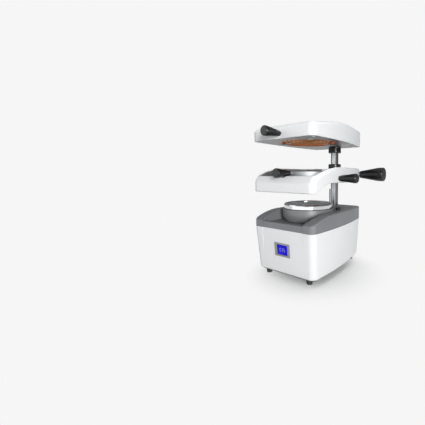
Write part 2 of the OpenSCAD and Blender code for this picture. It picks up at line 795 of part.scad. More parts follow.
// Push switch below the button, hung from the deck by a bracket on its outer side
module start_switch() color("#2E3032") from_table() translate([button_x, button_y, 0]) {
    translate([-2.5, -5, switch_z - 8]) cube([10, 10, 8]);
    translate([button_r + 1, -5, switch_z - 2]) cube([2, 10, deck_z - wall - fit_gap - switch_z + 2]);
}

module column() color(steel) from_table() at_column() {
    tube(column_r, column_r - column_wall, column_foot_z, column_top_z - column_foot_z);
}

hub_seat_z = heater_z + 0.6;
column_top_z = hub_seat_z + heater_hub_h + 0.2;

socket_r = 12.4;

module column_socket() color("#9A9DA0") from_table() difference() {
    foot = column_foot_z - 3;
    union() {
        at_column(foot) cylinder(r = socket_r, h = flange_z + flange_t - foot, $fn = CURVE_FN);
        at_column(flange_z) translate([-flange_w / 2, -flange_front, 0])
            cube([flange_w, flange_d, flange_t]);
    }
    at_column(column_foot_z) cylinder(r = column_r + thread_gap, h = 60, $fn = CURVE_FN);
    translate([pin_x, column_y, flange_z - cut])
        cylinder(r = pin_d / 2 + thread_gap, h = 20, $fn = SMALL_FN);
    posts(socket_screw_at, loose_hole_r, flange_z - cut, 20);
}

module socket_screws() color(steel) from_table() {
    head_h = 2.2;
    posts(socket_screw_at, 2.8, flange_z - head_h, head_h);
    posts(socket_screw_at, socket_screw_r, flange_z - head_h, head_h + flange_t + 6);
}

module guide_pin() color("#4A4D4F") from_table() translate([pin_x, column_y, 0]) {
    translate([0, 0, flange_z]) cylinder(d = pin_d, h = pin_top_z - flange_z - 1, $fn = SMALL_FN);
    translate([0, 0, pin_top_z - 1]) cylinder(r1 = pin_d / 2, r2 = pin_d / 2 - 0.8, h = 1, $fn = SMALL_FN);
}

// Black collar with rounded edges round the column
module collar(z, h, bore) {
    translate([0, 0, z]) rotate_extrude($fn = CURVE_FN) polygon([
        [bore, 0], [collar_r - 1, 0], [collar_r - 0.3, 0.3], [collar_r, 1],
        [collar_r, h - 1], [collar_r - 0.3, h - 0.3], [collar_r - 1, h], [bore, h]
    ]);
}

washer_t = 0.6;
hub_foot_r = 13;

module stop_collar() color(charcoal) from_table() at_column() difference() {
    collar(hub_seat_z - washer_t - stop_h, stop_h, column_r + thread_gap);
    translate([0, 0, hub_seat_z - washer_t - stop_h / 2]) rotate([-90, 0, 0])
        cylinder(r = 2, h = 30, $fn = SMALL_FN);
}

module thrust_washer() color("#E8E4D8") from_table() at_column()
    tube(hub_foot_r, column_r + run_gap, hub_seat_z - washer_t, washer_t);

module column_cap() color(steel) from_table() at_column(column_top_z) {
    cylinder(r = hub_foot_r, h = 1.6, $fn = CURVE_FN);
    translate([0, 0, -12]) cylinder(r = column_r - column_wall - fit_gap, h = 12, $fn = CURVE_FN);
    translate([0, 0, 1.6]) cylinder(r = 4, h = 2.2, $fn = 6);
}

// Heights of the underside and the top of the arms at a given depth
arm_level_y = 10;
arm_rise = frame_top_z - frame_front_top_z;
arm_run = arm_level_y - front_y;
arm_arc_r = (pow(arm_run, 2) + pow(arm_rise, 2)) / (2 * arm_rise);
function arm_top(y) =
    y >= arm_level_y ? frame_top_z
        : frame_top_z - arm_arc_r + sqrt(pow(arm_arc_r, 2) - pow(min(arm_level_y - y, arm_run), 2));
belly_level_y = -30;
belly_rise = web_z - frame_front_z;
belly_run = belly_level_y - front_y - front_bar_d;
belly_arc_r = (pow(belly_run, 2) + pow(belly_rise, 2)) / (2 * belly_rise);
function arm_bottom(y) =
    y >= belly_level_y ? web_z
        : web_z - belly_arc_r + sqrt(pow(belly_arc_r, 2) - pow(min(belly_level_y - y, belly_run), 2));

module sheet_frame() color(white) from_table() difference() {
    skin([
        ring(plan(2.2), function (y) arm_bottom(y)),
        ring(plan(0.7), function (y) arm_bottom(y) + 0.7),
        ring(plan(0), function (y) arm_bottom(y) + 2.2),
        ring(plan(0), function (y) arm_top(y) - 2.2),
        ring(plan(0.7), function (y) arm_top(y) - 0.7),
        ring(plan(2.2), function (y) arm_top(y))
    ]);
    frame_well(arm_w, web_z + web_t);
    translate([0, 0, web_z - 40]) linear_extrude(40) frame_inside_outline(arm_w);
    tube_hole(support_r + fit_gap, web_z + pocket_floor_t);
    translate([0, 0, web_z - cut]) cylinder(r = sheet_open_r, h = 20, $fn = CURVE_FN);
    at_column(web_z - cut) cylinder(r = bush_r + run_gap, h = 60, $fn = CURVE_FN);
    translate([pin_x, column_y, web_z - cut]) cylinder(r = pin_d / 2 + free_gap, h = 60, $fn = SMALL_FN);
    lock_hole();
    side_knob_hole();
    grip_saddle();
}

// Hollow in the front bar below the grip of the clamp
module grip_saddle() {
    translate([0, -clamp_r, clamp_grip_z]) rotate([90, 0, 0])
        cylinder(r = grip_end_r + free_gap, h = grip_len, $fn = CURVE_FN);
}

// Holes along X for the locking screw and for the screw of the side knob
module lock_hole() {
    translate([0, column_y, lock_z]) rotate([0, 90, 0])
        cylinder(d = lock_screw_d + 2 * run_gap, h = 120, $fn = SMALL_FN);
}
module side_knob_hole() {
    translate([0, side_knob_y, side_knob_z]) rotate([0, 90, 0])
        cylinder(d = grip_pin_d + 2 * run_gap, h = 120, $fn = SMALL_FN);
}

// Round hole from a height upwards
module tube_hole(r, z) {
    translate([0, 0, z]) cylinder(r = r, h = 60, $fn = CURVE_FN);
}

// Outline of the space between the arms, before the hub block
module frame_inside_outline(inset) {
    polygon(whole(half_plan(inset, front_y + front_bar_d + inset - arm_w, hub_y - inset + arm_w, 5, 3)));
}

// Well between the arms from a height upwards
module frame_well(inset, z) {
    translate([0, 0, z]) linear_extrude(60) frame_inside_outline(inset);
}

module frame_liner() color("#6E7171") from_table() difference() {
    intersection() {
        frame_well(arm_w + fit_gap, web_z + web_t + 0.01);
        skin([
            ring(plan(0), function (y) web_z),
            ring(plan(0), function (y) arm_top(y) - 1.5)
        ]);
    }
    frame_well(arm_w + fit_gap + liner_t, web_z + web_t + liner_t);
    tube_hole(support_r + fit_gap, web_z);
    side_knob_hole();
    grip_saddle();
    translate([-hinge_half_w - 3, hub_y - 20, web_z + web_t + liner_t]) cube([2 * hinge_half_w + 6, 40, 60]);
}

module slide_bush() color(charcoal) from_table() difference() {
    at_column() union() {
        collar(frame_top_z + fit_gap, bush_flange_h, column_r + run_gap);
        tube(bush_r, column_r + run_gap, web_z, frame_top_z + fit_gap - web_z + 0.5);
    }
    lock_hole();
}

pocket_floor_t = 1.5;

module support_ring() color("#B4B7B9") from_table() {
    seat_z = web_z + pocket_floor_t + fit_gap;
    tube(support_r, sheet_open_r, seat_z, sheet_z - seat_z);
}

hinge_half_w = 16;
hinge_y = hub_y - 8;
hinge_z = web_z + 17.5;
hinge_r = 4;
hinge_pin_r = 1.6;
ear_t = 6;
clamp_z = sheet_z + free_gap;

module clamp_ring() color("#C4C7C9") from_table() difference() {
    union() {
        rotate_extrude($fn = CURVE_FN) polygon([
            [sheet_open_r, clamp_z + 1], [clamp_r + 1.8, clamp_z + 1], [clamp_r + 1.8, clamp_z + 3],
            [clamp_r, clamp_z + 4.5], [clamp_r, clamp_z + clamp_h - 1], [clamp_r - 1, clamp_z + clamp_h],
            [sheet_open_r + 1, clamp_z + clamp_h], [sheet_open_r, clamp_z + clamp_h - 1]
        ]);
        for (s = [-1, 1]) translate([s * (hinge_half_w - ear_t / 2), 0, 0]) hull() {
            translate([0, hinge_y, hinge_z]) rotate([0, 90, 0])
                cylinder(r = hinge_r, h = ear_t, center = true, $fn = 32);
            translate([0, clamp_r - 3, clamp_z + clamp_h / 2])
                cube([ear_t, 2, clamp_h - 3.5], center = true);
        }
        translate([0, -clamp_r + 1.5, clamp_grip_z]) rotate([90, 0, 0])
            cylinder(r = 4.2, h = 5, $fn = SMALL_FN);
    }
    translate([0, hinge_y, hinge_z]) rotate([0, 90, 0])
        cylinder(r = hinge_pin_r + run_gap, h = 60, center = true, $fn = SMALL_FN);
    translate([0, -sheet_open_r, clamp_grip_z]) rotate([90, 0, 0])
        cylinder(r = grip_pin_d / 2 + thread_gap, h = 12, $fn = SMALL_FN);
}

module clamp_seal() color("#1C1D1E") from_table() tube(clamp_r, sheet_open_r, clamp_z, 1);

module hinge_pin() color(steel) from_table() {
    knuckle_w = 2 * (hinge_half_w - ear_t - free_gap);
    translate([0, hinge_y, hinge_z]) rotate([0, 90, 0])
        cylinder(r = hinge_pin_r, h = 2 * hinge_half_w + 1, center = true, $fn = SMALL_FN);
    hull() {
        translate([0, hinge_y, hinge_z]) rotate([0, 90, 0])
            cylinder(r = hinge_r, h = knuckle_w, center = true, $fn = 32);
        translate([0, hub_y - fit_gap - 1, hinge_z]) cube([knuckle_w, 2, 14], center = true);
    }
}

// Hand grip along +Z from its root, with a rounded cone
module grip(len, root_r, end_r) {
    soft = 2.2;
    rotate_extrude($fn = 48) polygon(concat(
        [[0, 0], [root_r - 1.2, 0], [root_r - 0.3, 0.4], [root_r, 1.4]],
        [[end_r - 0.6, len * 0.72], [end_r, len * 0.82], [end_r, len - soft]],
        [for (a = [20:35:90]) [end_r - soft + soft * cos(a), len - soft + soft * sin(a)]],
        [[0, len]]
    ));
}

module clamp_grip() color(charcoal) from_table()
    translate([0, -clamp_r - 3.5 - fit_gap, clamp_grip_z]) rotate([90, 0, 0]) {
    grip(grip_len, grip_root_r, grip_end_r);
    translate([0, 0, -8]) cylinder(d = grip_pin_d, h = 9, $fn = SMALL_FN);
}

module heater_grip() color(charcoal) from_table()
    translate([0, front_y - grip_seat - fit_gap, heater_grip_z]) rotate([90, 0, 0]) {
    nut_h = 3.5;
    nut_z = -grip_seat - heater_wall - 2 * fit_gap - nut_h;
    grip(grip_len, grip_root_r, grip_end_r);
    translate([0, 0, -grip_seat]) cylinder(r = 4, h = grip_seat + 0.5, $fn = SMALL_FN);
    translate([0, 0, nut_z - 1.5]) cylinder(d = grip_pin_d, h = 2.5 - nut_z, $fn = SMALL_FN);
    translate([0, 0, nut_z]) cylinder(r = 4.5, h = nut_h, $fn = 6);
}

module clamp_screw_knob() color(charcoal) from_table()
    translate([half_width(side_knob_y) + free_gap, side_knob_y, side_knob_z]) rotate([0, 90, 0]) {
        grip(grip_len, grip_root_r, grip_end_r);
        inner = half_width(side_knob_y) - clamp_r - 1.8 - free_gap;
        translate([0, 0, -inner]) cylinder(d = grip_pin_d, h = inner + 1, $fn = SMALL_FN);
    }

lock_neck = 5;
lock_face_x = half_width(column_y);

lock_thread = 20;

module lock_knob() color(charcoal) from_table()
    translate([lock_face_x + lock_neck, column_y, lock_z]) rotate([0, 90, 0]) difference() {
        grip(lock_len, lock_root_r, lock_end_r);
        translate([0, 0, -cut])
            cylinder(r = lock_screw_d / 2 + thread_gap, h = lock_thread + 2 * cut, $fn = SMALL_FN);
    }

module lock_screw() color(steel) from_table()
    translate([column_r + 0.1, column_y, lock_z]) rotate([0, 90, 0])
        cylinder(d = lock_screw_d, h = lock_face_x + lock_neck + lock_thread - column_r, $fn = SMALL_FN);

// Height of the side wall of the heater at a given depth
heater_knee_y = 0;
heater_level_y = 40;
function heater_side(y) =
    let (
        drop = heater_rear_h - heater_front_h,
        slope = drop / ((heater_level_y + heater_knee_y) / 2 - front_y),
        blend = heater_level_y - heater_knee_y
    )
    heater_z + (y >= heater_level_y ? heater_rear_h
        : y >= heater_knee_y ? heater_rear_h - slope * pow(heater_level_y - y, 2) / (2 * blend)
        : heater_rear_h - slope * ((heater_level_y + heater_knee_y) / 2 - y));

// Shell of the heater head, its faces set in by a wall
module heater_form(t) {
    skin([
        level(plan(t), t == 0 ? heater_z : heater_z - cut),
        ring(plan(t), function (y) heater_side(y) - 0.6 * t),
        ring(plan(7 + t), function (y) heater_side(y) + 0.6 * crown_h - t),
        ring(plan(22 + t), function (y) heater_side(y) + 0.92 * crown_h - t),
        ring(plan(40 + t), function (y) heater_side(y) + crown_h - t)
    ]);
}

module heater_cover() color(white) from_table() difference() {
    union() {
        difference() {
            heater_form(0);
            heater_form(heater_wall);
        }
        intersection() {
            heater_form(1);
            posts(under_screw_at, 4, under_z + under_t + fit_gap, 60);
        }
    }
    translate([0, front_y, heater_grip_z]) rotate([90, 0, 0])
        cylinder(r = grip_pin_d / 2 + thread_gap, h = 20, center = true, $fn = SMALL_FN);
    posts(under_screw_at, under_screw_r + thread_gap, under_z, 9);
}

under_z = hub_seat_z;
under_screw_r = 1.5;
under_in = heater_wall + fit_gap;
under_screw_at = [for (s = [-1, 1]) each [at_side(s, front_y + 16.3, 11.7),
    at_side(s, rear_y - 75, 9.7), at_side(s, rear_y - 17, 18.7)]];

module heater_base_plate() color("#6A6D6D") from_table()
    translate([0, 0, under_z]) linear_extrude(under_t) difference() {
        polygon(whole(plan(under_in)));
        circle(r = heater_open_r, $fn = CURVE_FN);
        translate([0, column_y]) circle(r = hub_foot_r + free_gap, $fn = CURVE_FN);
        for (p = under_screw_at) translate(p) circle(r = loose_hole_r, $fn = SMALL_FN);
    }

module base_plate_screws() color(steel) from_table() {
    head_h = 1.6;
    for (p = under_screw_at) translate([p.x, p.y, under_z - head_h])
        cylinder(r1 = 2.2, r2 = 2.8, h = head_h, $fn = SMALL_FN);
    posts(under_screw_at, under_screw_r, under_z - head_h, head_h + 7.5);
}

hub_flange_w = 60;
hub_flange_front = 14;
hub_flange_rear = 10;

module heater_hub() color("#9A9DA0") from_table() at_column(hub_seat_z) difference() {
    union() {
        cylinder(r = hub_foot_r, h = heater_hub_h, $fn = CURVE_FN);
        translate([-hub_flange_w / 2, -hub_flange_front, under_t + fit_gap])
            cube([hub_flange_w, hub_flange_front + hub_flange_rear, 5]);
    }
    translate([0, 0, -cut]) cylinder(r = column_r + run_gap, h = 60, $fn = CURVE_FN);
}

clip_w = 9;
clip_t = 1.2;
dish_t = 0.8;
dish_h = 14;

module reflector() color("#8B5A3A") from_table() rotate_extrude($fn = CURVE_FN) polygon([
    [heater_open_r + 5, under_z + under_t], [heater_open_r - 2, under_z + under_t],
    [heater_open_r - 6, under_z + dish_h], [0, under_z + dish_h], [0, under_z + dish_h + dish_t],
    [heater_open_r - 5.4, under_z + dish_h + dish_t], [heater_open_r - 1.4, under_z + under_t + dish_t],
    [heater_open_r + 5, under_z + under_t + dish_t]
]);

coil_z = under_z + 6;
coil_end = 2 * tube_r;
loop_rings = 24;

// Middle line of the heating tube: a flat spiral with a straight end on each side
function spiral(t) = let (r = coil_r - coil_pitch * t, a = -60 + 360 * t) [r * cos(a), r * sin(a), coil_z];
coil_steps = coil_turns * loop_rings;
coil_turn_pts = [for (i = [0:coil_steps]) spiral(i / loop_rings)];
coil_first = coil_turn_pts[0] - coil_turn_pts[1];
coil_last = coil_turn_pts[coil_steps] - coil_turn_pts[coil_steps - 1];
coil_path = concat(
    [coil_turn_pts[0] + coil_end * coil_first / norm(coil_first)],
    coil_turn_pts,
    [coil_turn_pts[coil_steps] + coil_end * coil_last / norm(coil_last)]
);

// Least gap between turns, measured on points more than half a turn apart along the tube
coil_gap = min([for (i = [0:len(coil_path) - 1], j = [i + loop_rings / 2:1:len(coil_path) - 1])
    norm(coil_path[i] - coil_path[j])]) - 2 * tube_r;
echo(coil_gap = coil_gap);

// Tube with six sides along points that lie in a level plane
module flat_tube(path, r) {
    sides = 6;
    n = len(path);
    pts = [for (i = [0:n - 1])
        let (
            d = path[min(i + 1, n - 1)] - path[max(i - 1, 0)],
            u = [d.y, -d.x, 0] / norm(d)
        )
        for (k = [0:sides - 1]) path[i] + r * cos(360 * k / sides) * u + [0, 0, r * sin(360 * k / sides)]];
    walls = [for (i = [0:n - 2], k = [0:sides - 1])
        let (a = i * sides + k, b = i * sides + (k + 1) % sides)
        each [[a, b, b + sides], [a, b + sides, a + sides]]];
    first_cap = [for (k = [sides - 1:-1:0]) k];
    last_cap = [for (k = [0:sides - 1]) (n - 1) * sides + k];
    polyhedron(points = pts, faces = concat(walls, [first_cap], [last_cap]));
}

module heating_coil() color("#B5652E") from_table() flat_tube(coil_path, tube_r);

module coil_supports() color("#E6E2D6") from_table() for (a = [20:120:260]) rotate([0, 0, a])
    translate([8, -3, coil_z + tube_r + fit_gap])
        cube([heater_open_r - 6 - 8 - 2, 6, under_z + dish_h - coil_z - tube_r - 2 * fit_gap]);

// Bent clips that are screwed below the base plate and carry the outer turns of the tube
module coil_clips() color("#8D9092") from_table() for (a = [-50:120:190]) rotate([0, 0, a]) {
    seat = coil_z - tube_r - fit_gap;
    bend = heater_open_r - 4.4;
    rotate([90, 0, 0]) linear_extrude(clip_w, center = true) polygon([
        [coil_r - coil_pitch, seat], [bend + clip_t, seat], [bend + clip_t, under_z],
        [heater_open_r + 12, under_z], [heater_open_r + 12, under_z - clip_t],
        [bend, under_z - clip_t], [bend, seat - clip_t], [coil_r - coil_pitch, seat - clip_t]
    ]);
    translate([heater_open_r + 7, 0, under_z - clip_t - 0.8]) cylinder(r = 2, h = 0.8, $fn = SMALL_FN);
}

module terminal_block() color("#E6E2D6") from_table()
    translate([-24, heater_open_r + 8, under_z + under_t]) {
    cube([48, 16, 4]);
    for (x = [2:16:34]) translate([x, 2, 4]) cube([12, 12, 9]);
}

base_housing();
bottom_plate();
rubber_feet();
foot_screws();
housing_screws();
top_cover();
display_frame();
display_window();
display_board();
vacuum_table();
table_seal();
table_ring();
perforated_plate();
table_screws();
motor_seal();
motor_body();
motor_mount();
fan_wheel();
control_board();
mains_inlet();
mains_switch_frame();
mains_rocker();
fuse_holder();
start_button();
start_switch();
column();
column_socket();
socket_screws();
guide_pin();
stop_collar();
thrust_washer();
column_cap();
sheet_frame();
frame_liner();
slide_bush();
support_ring();
clamp_ring();
clamp_seal();
hinge_pin();
clamp_grip();
clamp_screw_knob();
lock_knob();
lock_screw();
heater_cover();
heater_hub();
heater_base_plate();
base_plate_screws();
reflector();
heating_coil();
coil_supports();
coil_clips();
terminal_block();
heater_grip();
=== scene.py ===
# Bench-top vacuum former for round dental sheets, dressed over its solids.
# Lengths are in metres. The table axis comes from the frame, and the sections follow the order of assembly.
import math

import bmesh
import bpy
from mathutils import Matrix, Vector


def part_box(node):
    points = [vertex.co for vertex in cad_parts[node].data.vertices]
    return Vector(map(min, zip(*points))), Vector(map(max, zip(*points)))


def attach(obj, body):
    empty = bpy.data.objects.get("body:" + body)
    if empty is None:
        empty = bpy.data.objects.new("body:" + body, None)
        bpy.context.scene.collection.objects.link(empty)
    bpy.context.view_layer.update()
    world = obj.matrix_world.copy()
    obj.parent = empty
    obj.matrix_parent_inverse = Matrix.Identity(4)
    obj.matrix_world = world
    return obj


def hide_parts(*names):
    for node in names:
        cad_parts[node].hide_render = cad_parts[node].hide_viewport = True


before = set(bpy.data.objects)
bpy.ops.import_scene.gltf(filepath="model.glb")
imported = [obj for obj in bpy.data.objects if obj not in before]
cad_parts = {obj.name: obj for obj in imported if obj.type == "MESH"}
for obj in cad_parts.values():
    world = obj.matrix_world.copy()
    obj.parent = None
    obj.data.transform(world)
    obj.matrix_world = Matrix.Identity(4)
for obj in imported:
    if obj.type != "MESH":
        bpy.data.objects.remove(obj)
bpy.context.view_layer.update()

# Base housing
# One injection moulding in white ABS, about 2.8 mm thick, that stands on the bottom plate.
# Its front leans back, its sides bow out, and two creases step the front panel in from the round corners.
plate_lo, plate_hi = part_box("perforated_plate")
axis_x = (plate_lo.x + plate_hi.x) / 2
axis_y = (plate_lo.y + plate_hi.y) / 2
housing_lo, housing_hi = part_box("base_housing")
half_w = (housing_hi.x - housing_lo.x) / 2
front_y = housing_lo.y - axis_y
rear_y = housing_hi.y - axis_y
base_z = housing_lo.z
seam_z = housing_hi.z
widest_y = -0.019
side_r = 0.700
side_steps = 48
front_corner_r = 0.014
rear_corner_r = 0.010
least_corner_r = 0.002
corner_steps = 10
wall = 0.0028
front_rake = 0.0083
side_taper = 0.0048
rear_rake = 0.003
bottom_round = 0.006
round_steps = 8
inner_chamfer = 0.002
floor_lip = 0.017
seam_break = 0.0006
seam_inset = 0.0005
crease_x = 0.055
crease_depth = 0.0016
crease_foot_z = 0.049
# How far a cutting tool passes the face that it cuts.
clear = 0.005


def to_linear(hex_colour):
    """sRGB hex to linear RGBA."""
    channels = [int(hex_colour[i:i + 2], 16) / 255 for i in (1, 3, 5)]
    return tuple(c / 12.92 if c <= 0.04045 else ((c + 0.055) / 1.055) ** 2.4 for c in channels) + (1.0,)


def feed(tree, node, links):
    """Links or sets the inputs of a node that are named in links."""
    for name, value in links.items():
        socket = node.inputs[name]
        if isinstance(value, bpy.types.NodeSocket):
            tree.links.new(value, socket)
        else:
            socket.default_value = value


def add(tree, kind, links=None, **settings):
    """Adds one node with its settings, and links or sets its inputs."""
    node = tree.nodes.new(kind)
    for name, value in settings.items():
        setattr(node, name, value)
    feed(tree, node, links or {})
    return node


def new_material(name, kind="ShaderNodeBsdfPrincipled"):
    """A material, its tree, the coordinates on its object, and its last shader, joined to the output."""
    material = bpy.data.materials.new(name)
    material.use_nodes = True
    tree = material.node_tree
    tree.nodes.clear()
    shader = add(tree, kind)
    add(tree, "ShaderNodeOutputMaterial", {"Surface": shader.outputs[0]})
    return material, tree, add(tree, "ShaderNodeTexCoord").outputs["Object"], shader


def finish(name, noises, sockets, tint=None, gloss=None, relief=None, edge=None):
    """A material with one or two noises, each a scale and a detail.

    The first raises it, by a relief of a strength and a depth. The last varies its tint between two colours,
    and its gloss in a range of roughness. The edge is the radius that the shading gives to sharp edges.
    """
    material, tree, coords, shader = new_material(name)
    made = [add(tree, "ShaderNodeTexNoise", {"Vector": coords, "Scale": scale, "Detail": detail})
            for scale, detail in noises]
    fine = made[0].outputs["Fac"]
    broad = made[-1].outputs["Fac"]
    feed(tree, shader, sockets)
    if tint:
        tone = add(tree, "ShaderNodeMix", {"Factor": broad, "A": to_linear(tint[0]), "B": to_linear(tint[1])},
                   data_type="RGBA")
        feed(tree, shader, {"Base Color": tone.outputs["Result"]})
    if gloss:
        rough = add(tree, "ShaderNodeMapRange", {"Value": broad, "To Min": gloss[0], "To Max": gloss[1]})
        feed(tree, shader, {"Roughness": rough.outputs["Result"]})
    if relief:
        bump = add(tree, "ShaderNodeBump", {"Height": fine, "Strength": relief[0], "Distance": relief[1]})
        feed(tree, shader, {"Normal": bump.outputs["Normal"]})
    if edge:
        rounded = add(tree, "ShaderNodeBevel", {"Radius": edge}, samples=4)
        feed(tree, bump, {"Normal": rounded.outputs["Normal"]})
    return material


def middle(node):
    """Middle of a solid's box: from the table axis to the right and to the rear, and above the floor."""
    lo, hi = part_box(node)
    return (lo.x + hi.x) / 2 - axis_x, (lo.y + hi.y) / 2 - axis_y, (lo.z + hi.z) / 2


def arc(x, y, r, start, end, steps):
    """Points along an arc, with both of its ends."""
    turns = [start + (end - start) * i / steps for i in range(steps + 1)]
    return [(x + r * math.cos(a), y + r * math.sin(a)) for a in turns]


def quarter(r, steps):
    """Pairs along a quarter round: the first grows to the radius while the second falls to nothing."""
    turns = [math.pi / 2 * i / steps for i in range(steps + 1)]
    return [(r * (1 - math.cos(a)), r * (1 - math.sin(a))) for a in turns]


def half_plan(inset, y_front, y_rear, r_front, r_rear):
    """Right half of the bowed plan, from the front middle to the rear middle."""
    r = side_r - inset
    cx = half_w - side_r
    fy, ry = y_front + r_front, y_rear - r_rear
    fx = cx + math.sqrt((r - r_front) ** 2 - (fy - widest_y) ** 2)
    rx = cx + math.sqrt((r - r_rear) ** 2 - (ry - widest_y) ** 2)
    fa = math.atan2(fy - widest_y, fx - cx)
    ra = math.atan2(ry - widest_y, rx - cx)
    return (arc(fx, fy, r_front, -math.pi / 2, fa, corner_steps)
            + arc(cx, widest_y, r, fa, ra, side_steps)[1:-1]
            + arc(rx, ry, r_rear, ra, math.pi / 2, corner_steps))


def lean(z):
    """Share of the housing's rake at a height: none at the seam, all at the foot."""
    return (seam_z - z) / (seam_z - base_z)


def plan(inset, k=0.0):
    """The plan set in by the same distance all round, with a share of the housing's rake."""
    return half_plan(side_taper * k + inset, front_y + front_rake * k + inset, rear_y - rear_rake * k - inset,
                     max(front_corner_r - inset, least_corner_r), max(rear_corner_r - inset, least_corner_r))


def ring(half, height):
    """A closed ring in space, at a height or at a height that follows the depth."""
    whole = half + [(-x, y) for x, y in reversed(half)]
    return [(axis_x + x, axis_y + y, height(y) if callable(height) else height) for x, y in whole]


def mesh_object(name, points, faces):
    """A mesh object made of points and faces."""
    mesh = bpy.data.meshes.new(name)
    mesh.from_pydata([tuple(p) for p in points], [], faces)
    mesh.update()
    made = bpy.data.objects.new(name, mesh)
    bpy.context.scene.collection.objects.link(made)
    return made


def skin(name, rings, closed=False):
    """A surface over rings of equal length: with strip caps, or closed on itself like a tyre."""
    n = len(rings[0])
    count = len(rings)
    faces = []
    for j in range(count if closed else count - 1):
        for i in range(n):
            a, b = j * n + i, j * n + (i + 1) % n
            c, d = ((j + 1) % count) * n + (i + 1) % n, ((j + 1) % count) * n + i
            faces.append((a, b, c, d))
    if not closed:
        top = (count - 1) * n
        for i in range(n // 2 - 1):
            faces.append((n - 1 - i, n - 2 - i, i + 1, i))
            faces.append((top + i, top + i + 1, top + n - 2 - i, top + n - 1 - i))
    return mesh_object(name, [p for r in rings for p in r], faces)


def prism_faces(n, first=0):
    """Faces of a closed block between two outlines of n points, the lower one first."""
    low = [first + i for i in range(n)]
    sides = [(low[i], low[(i + 1) % n], low[(i + 1) % n] + n, low[i] + n) for i in range(n)]
    return [tuple(reversed(low)), tuple(i + n for i in low)] + sides


def round_cutter(r, z0, z1, x=0.0, y=0.0, steps=96):
    """An upright cylinder, as a tool that cuts."""
    circle = arc(axis_x + x, axis_y + y, r, 0, 2 * math.pi, steps)[:-1]
    return mesh_object("cutter", [(px, py, z) for z in (z0, z1) for px, py in circle], prism_faces(steps))


def level_cutter(r, place, length, along, steps=32):
    """A cylinder that starts at a place and runs in a direction, as a tool that cuts."""
    rod = round_cutter(r, 0.0, length, -axis_x, -axis_y, steps)
    turn = Vector(along).to_track_quat("Z", "Y").to_matrix().to_4x4()
    rod.data.transform(Matrix.Translation((axis_x + place[0], axis_y + place[1], place[2])) @ turn)
    return rod


def box_cutter(size, place, turn_x=0.0):
    """A block about a point, turned about X, as a tool that cuts."""
    corners = [Vector((sx * size[0] / 2, sy * size[1] / 2, sz * size[2] / 2))
               for sz in (-1, 1) for sx, sy in ((-1, -1), (1, -1), (1, 1), (-1, 1))]
    there = Matrix.Translation((axis_x + place[0], axis_y + place[1], place[2]))
    move = there @ Matrix.Rotation(turn_x, 4, "X")
    return mesh_object("cutter", [move @ c for c in corners], prism_faces(4))


def settle(piece):
    """Applies the piece's modifiers to its mesh."""
    graph = bpy.context.evaluated_depsgraph_get()
    made = bpy.data.meshes.new_from_object(piece.evaluated_get(graph))
    piece.modifiers.clear()
    piece.data = made


def carve(piece, cutters):
    """Cuts the tools out of the piece, and deletes them."""
    for cutter in cutters:
        change = piece.modifiers.new("cut", "BOOLEAN")
        change.operation = "DIFFERENCE"
        change.solver = "EXACT"
        change.object = cutter
        settle(piece)
        bpy.data.objects.remove(cutter)
    return piece


def smooth(piece, angle=35):
    """Shades the piece smooth, apart from edges that turn more sharply than the angle."""
    shape = bmesh.new()
    shape.from_mesh(piece.data)
    bmesh.ops.remove_doubles(shape, verts=shape.verts, dist=0.00001)
    bmesh.ops.recalc_face_normals(shape, faces=shape.faces)
    for face in shape.faces:
        face.smooth = True
    for edge in shape.edges:
        edge.smooth = len(edge.link_faces) == 2 and edge.calc_face_angle(0) < math.radians(angle)
    shape.to_mesh(piece.data)
    shape.free()
    weigh = piece.modifiers.new("weigh", "WEIGHTED_NORMAL")
    weigh.keep_sharp = True
    settle(piece)
    return piece


def dress(piece, material, body, slot, *nodes):
    """Gives a finished piece its material, its body and the solids that it stands for; its slot is not used.
    """
    piece.data.materials.clear()
    piece.data.materials.append(material)
    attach(piece, body)
    if nodes:
        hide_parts(*nodes)


# White ABS from a polished mould: bright, with a soft gloss that handling varies, and waves of about 10 mm.
white_abs = finish("white_polished_abs", [(90.0, 3.0), (14.0, 5.0)], {"IOR": 1.53}, ("#eceeef", "#f4f5f6"),
                   gloss=(0.29, 0.37), relief=(0.02, 0.001))

# Each pair is an inset and a height: the round at the foot, the outer wall, the inner wall and the floor lip.
walls = [(inset, base_z + rise) for rise, inset in quarter(bottom_round, round_steps)]
walls += [(0.0, seam_z - seam_break), (seam_inset, seam_z), (wall, seam_z),
          (wall, base_z + wall + inner_chamfer), (wall + inner_chamfer, base_z + wall),
          (floor_lip, base_z + wall), (floor_lip, base_z)]
housing = skin("housing_shell", [ring(plan(inset, lean(z)), z) for inset, z in walls], closed=True)

front_turn = math.atan(front_rake / (seam_z - base_z))
rear_turn = -math.atan(rear_rake / (seam_z - base_z))


def on_front(x, z, out=0.0):
    """Place on the leaning front face, a distance out from it."""
    return (x, front_y + front_rake * lean(z) - out * math.cos(front_turn), z - out * math.sin(front_turn))


def on_rear(x, z, out=0.0):
    """Place on the leaning rear face, a distance out from it."""
    return (x, rear_y - rear_rake * lean(z) + out * math.cos(rear_turn), z + out * math.sin(rear_turn))


def panel_cutter(foot_z, foot_depth, head_z):
    """The space before the stepped-in front panel between two heights, as a tool that cuts."""
    points = []
    for z, depth in ((foot_z, foot_depth), (head_z, crease_depth)):
        back = axis_y + front_y + front_rake * max(lean(z), 0.0) + depth
        front = axis_y + front_y - clear
        outline = ((-crease_x, front), (crease_x, front), (crease_x, back), (-crease_x, back))
        points += [(axis_x + x, y, z) for x, y in outline]
    return mesh_object("cutter", points, prism_faces(4))


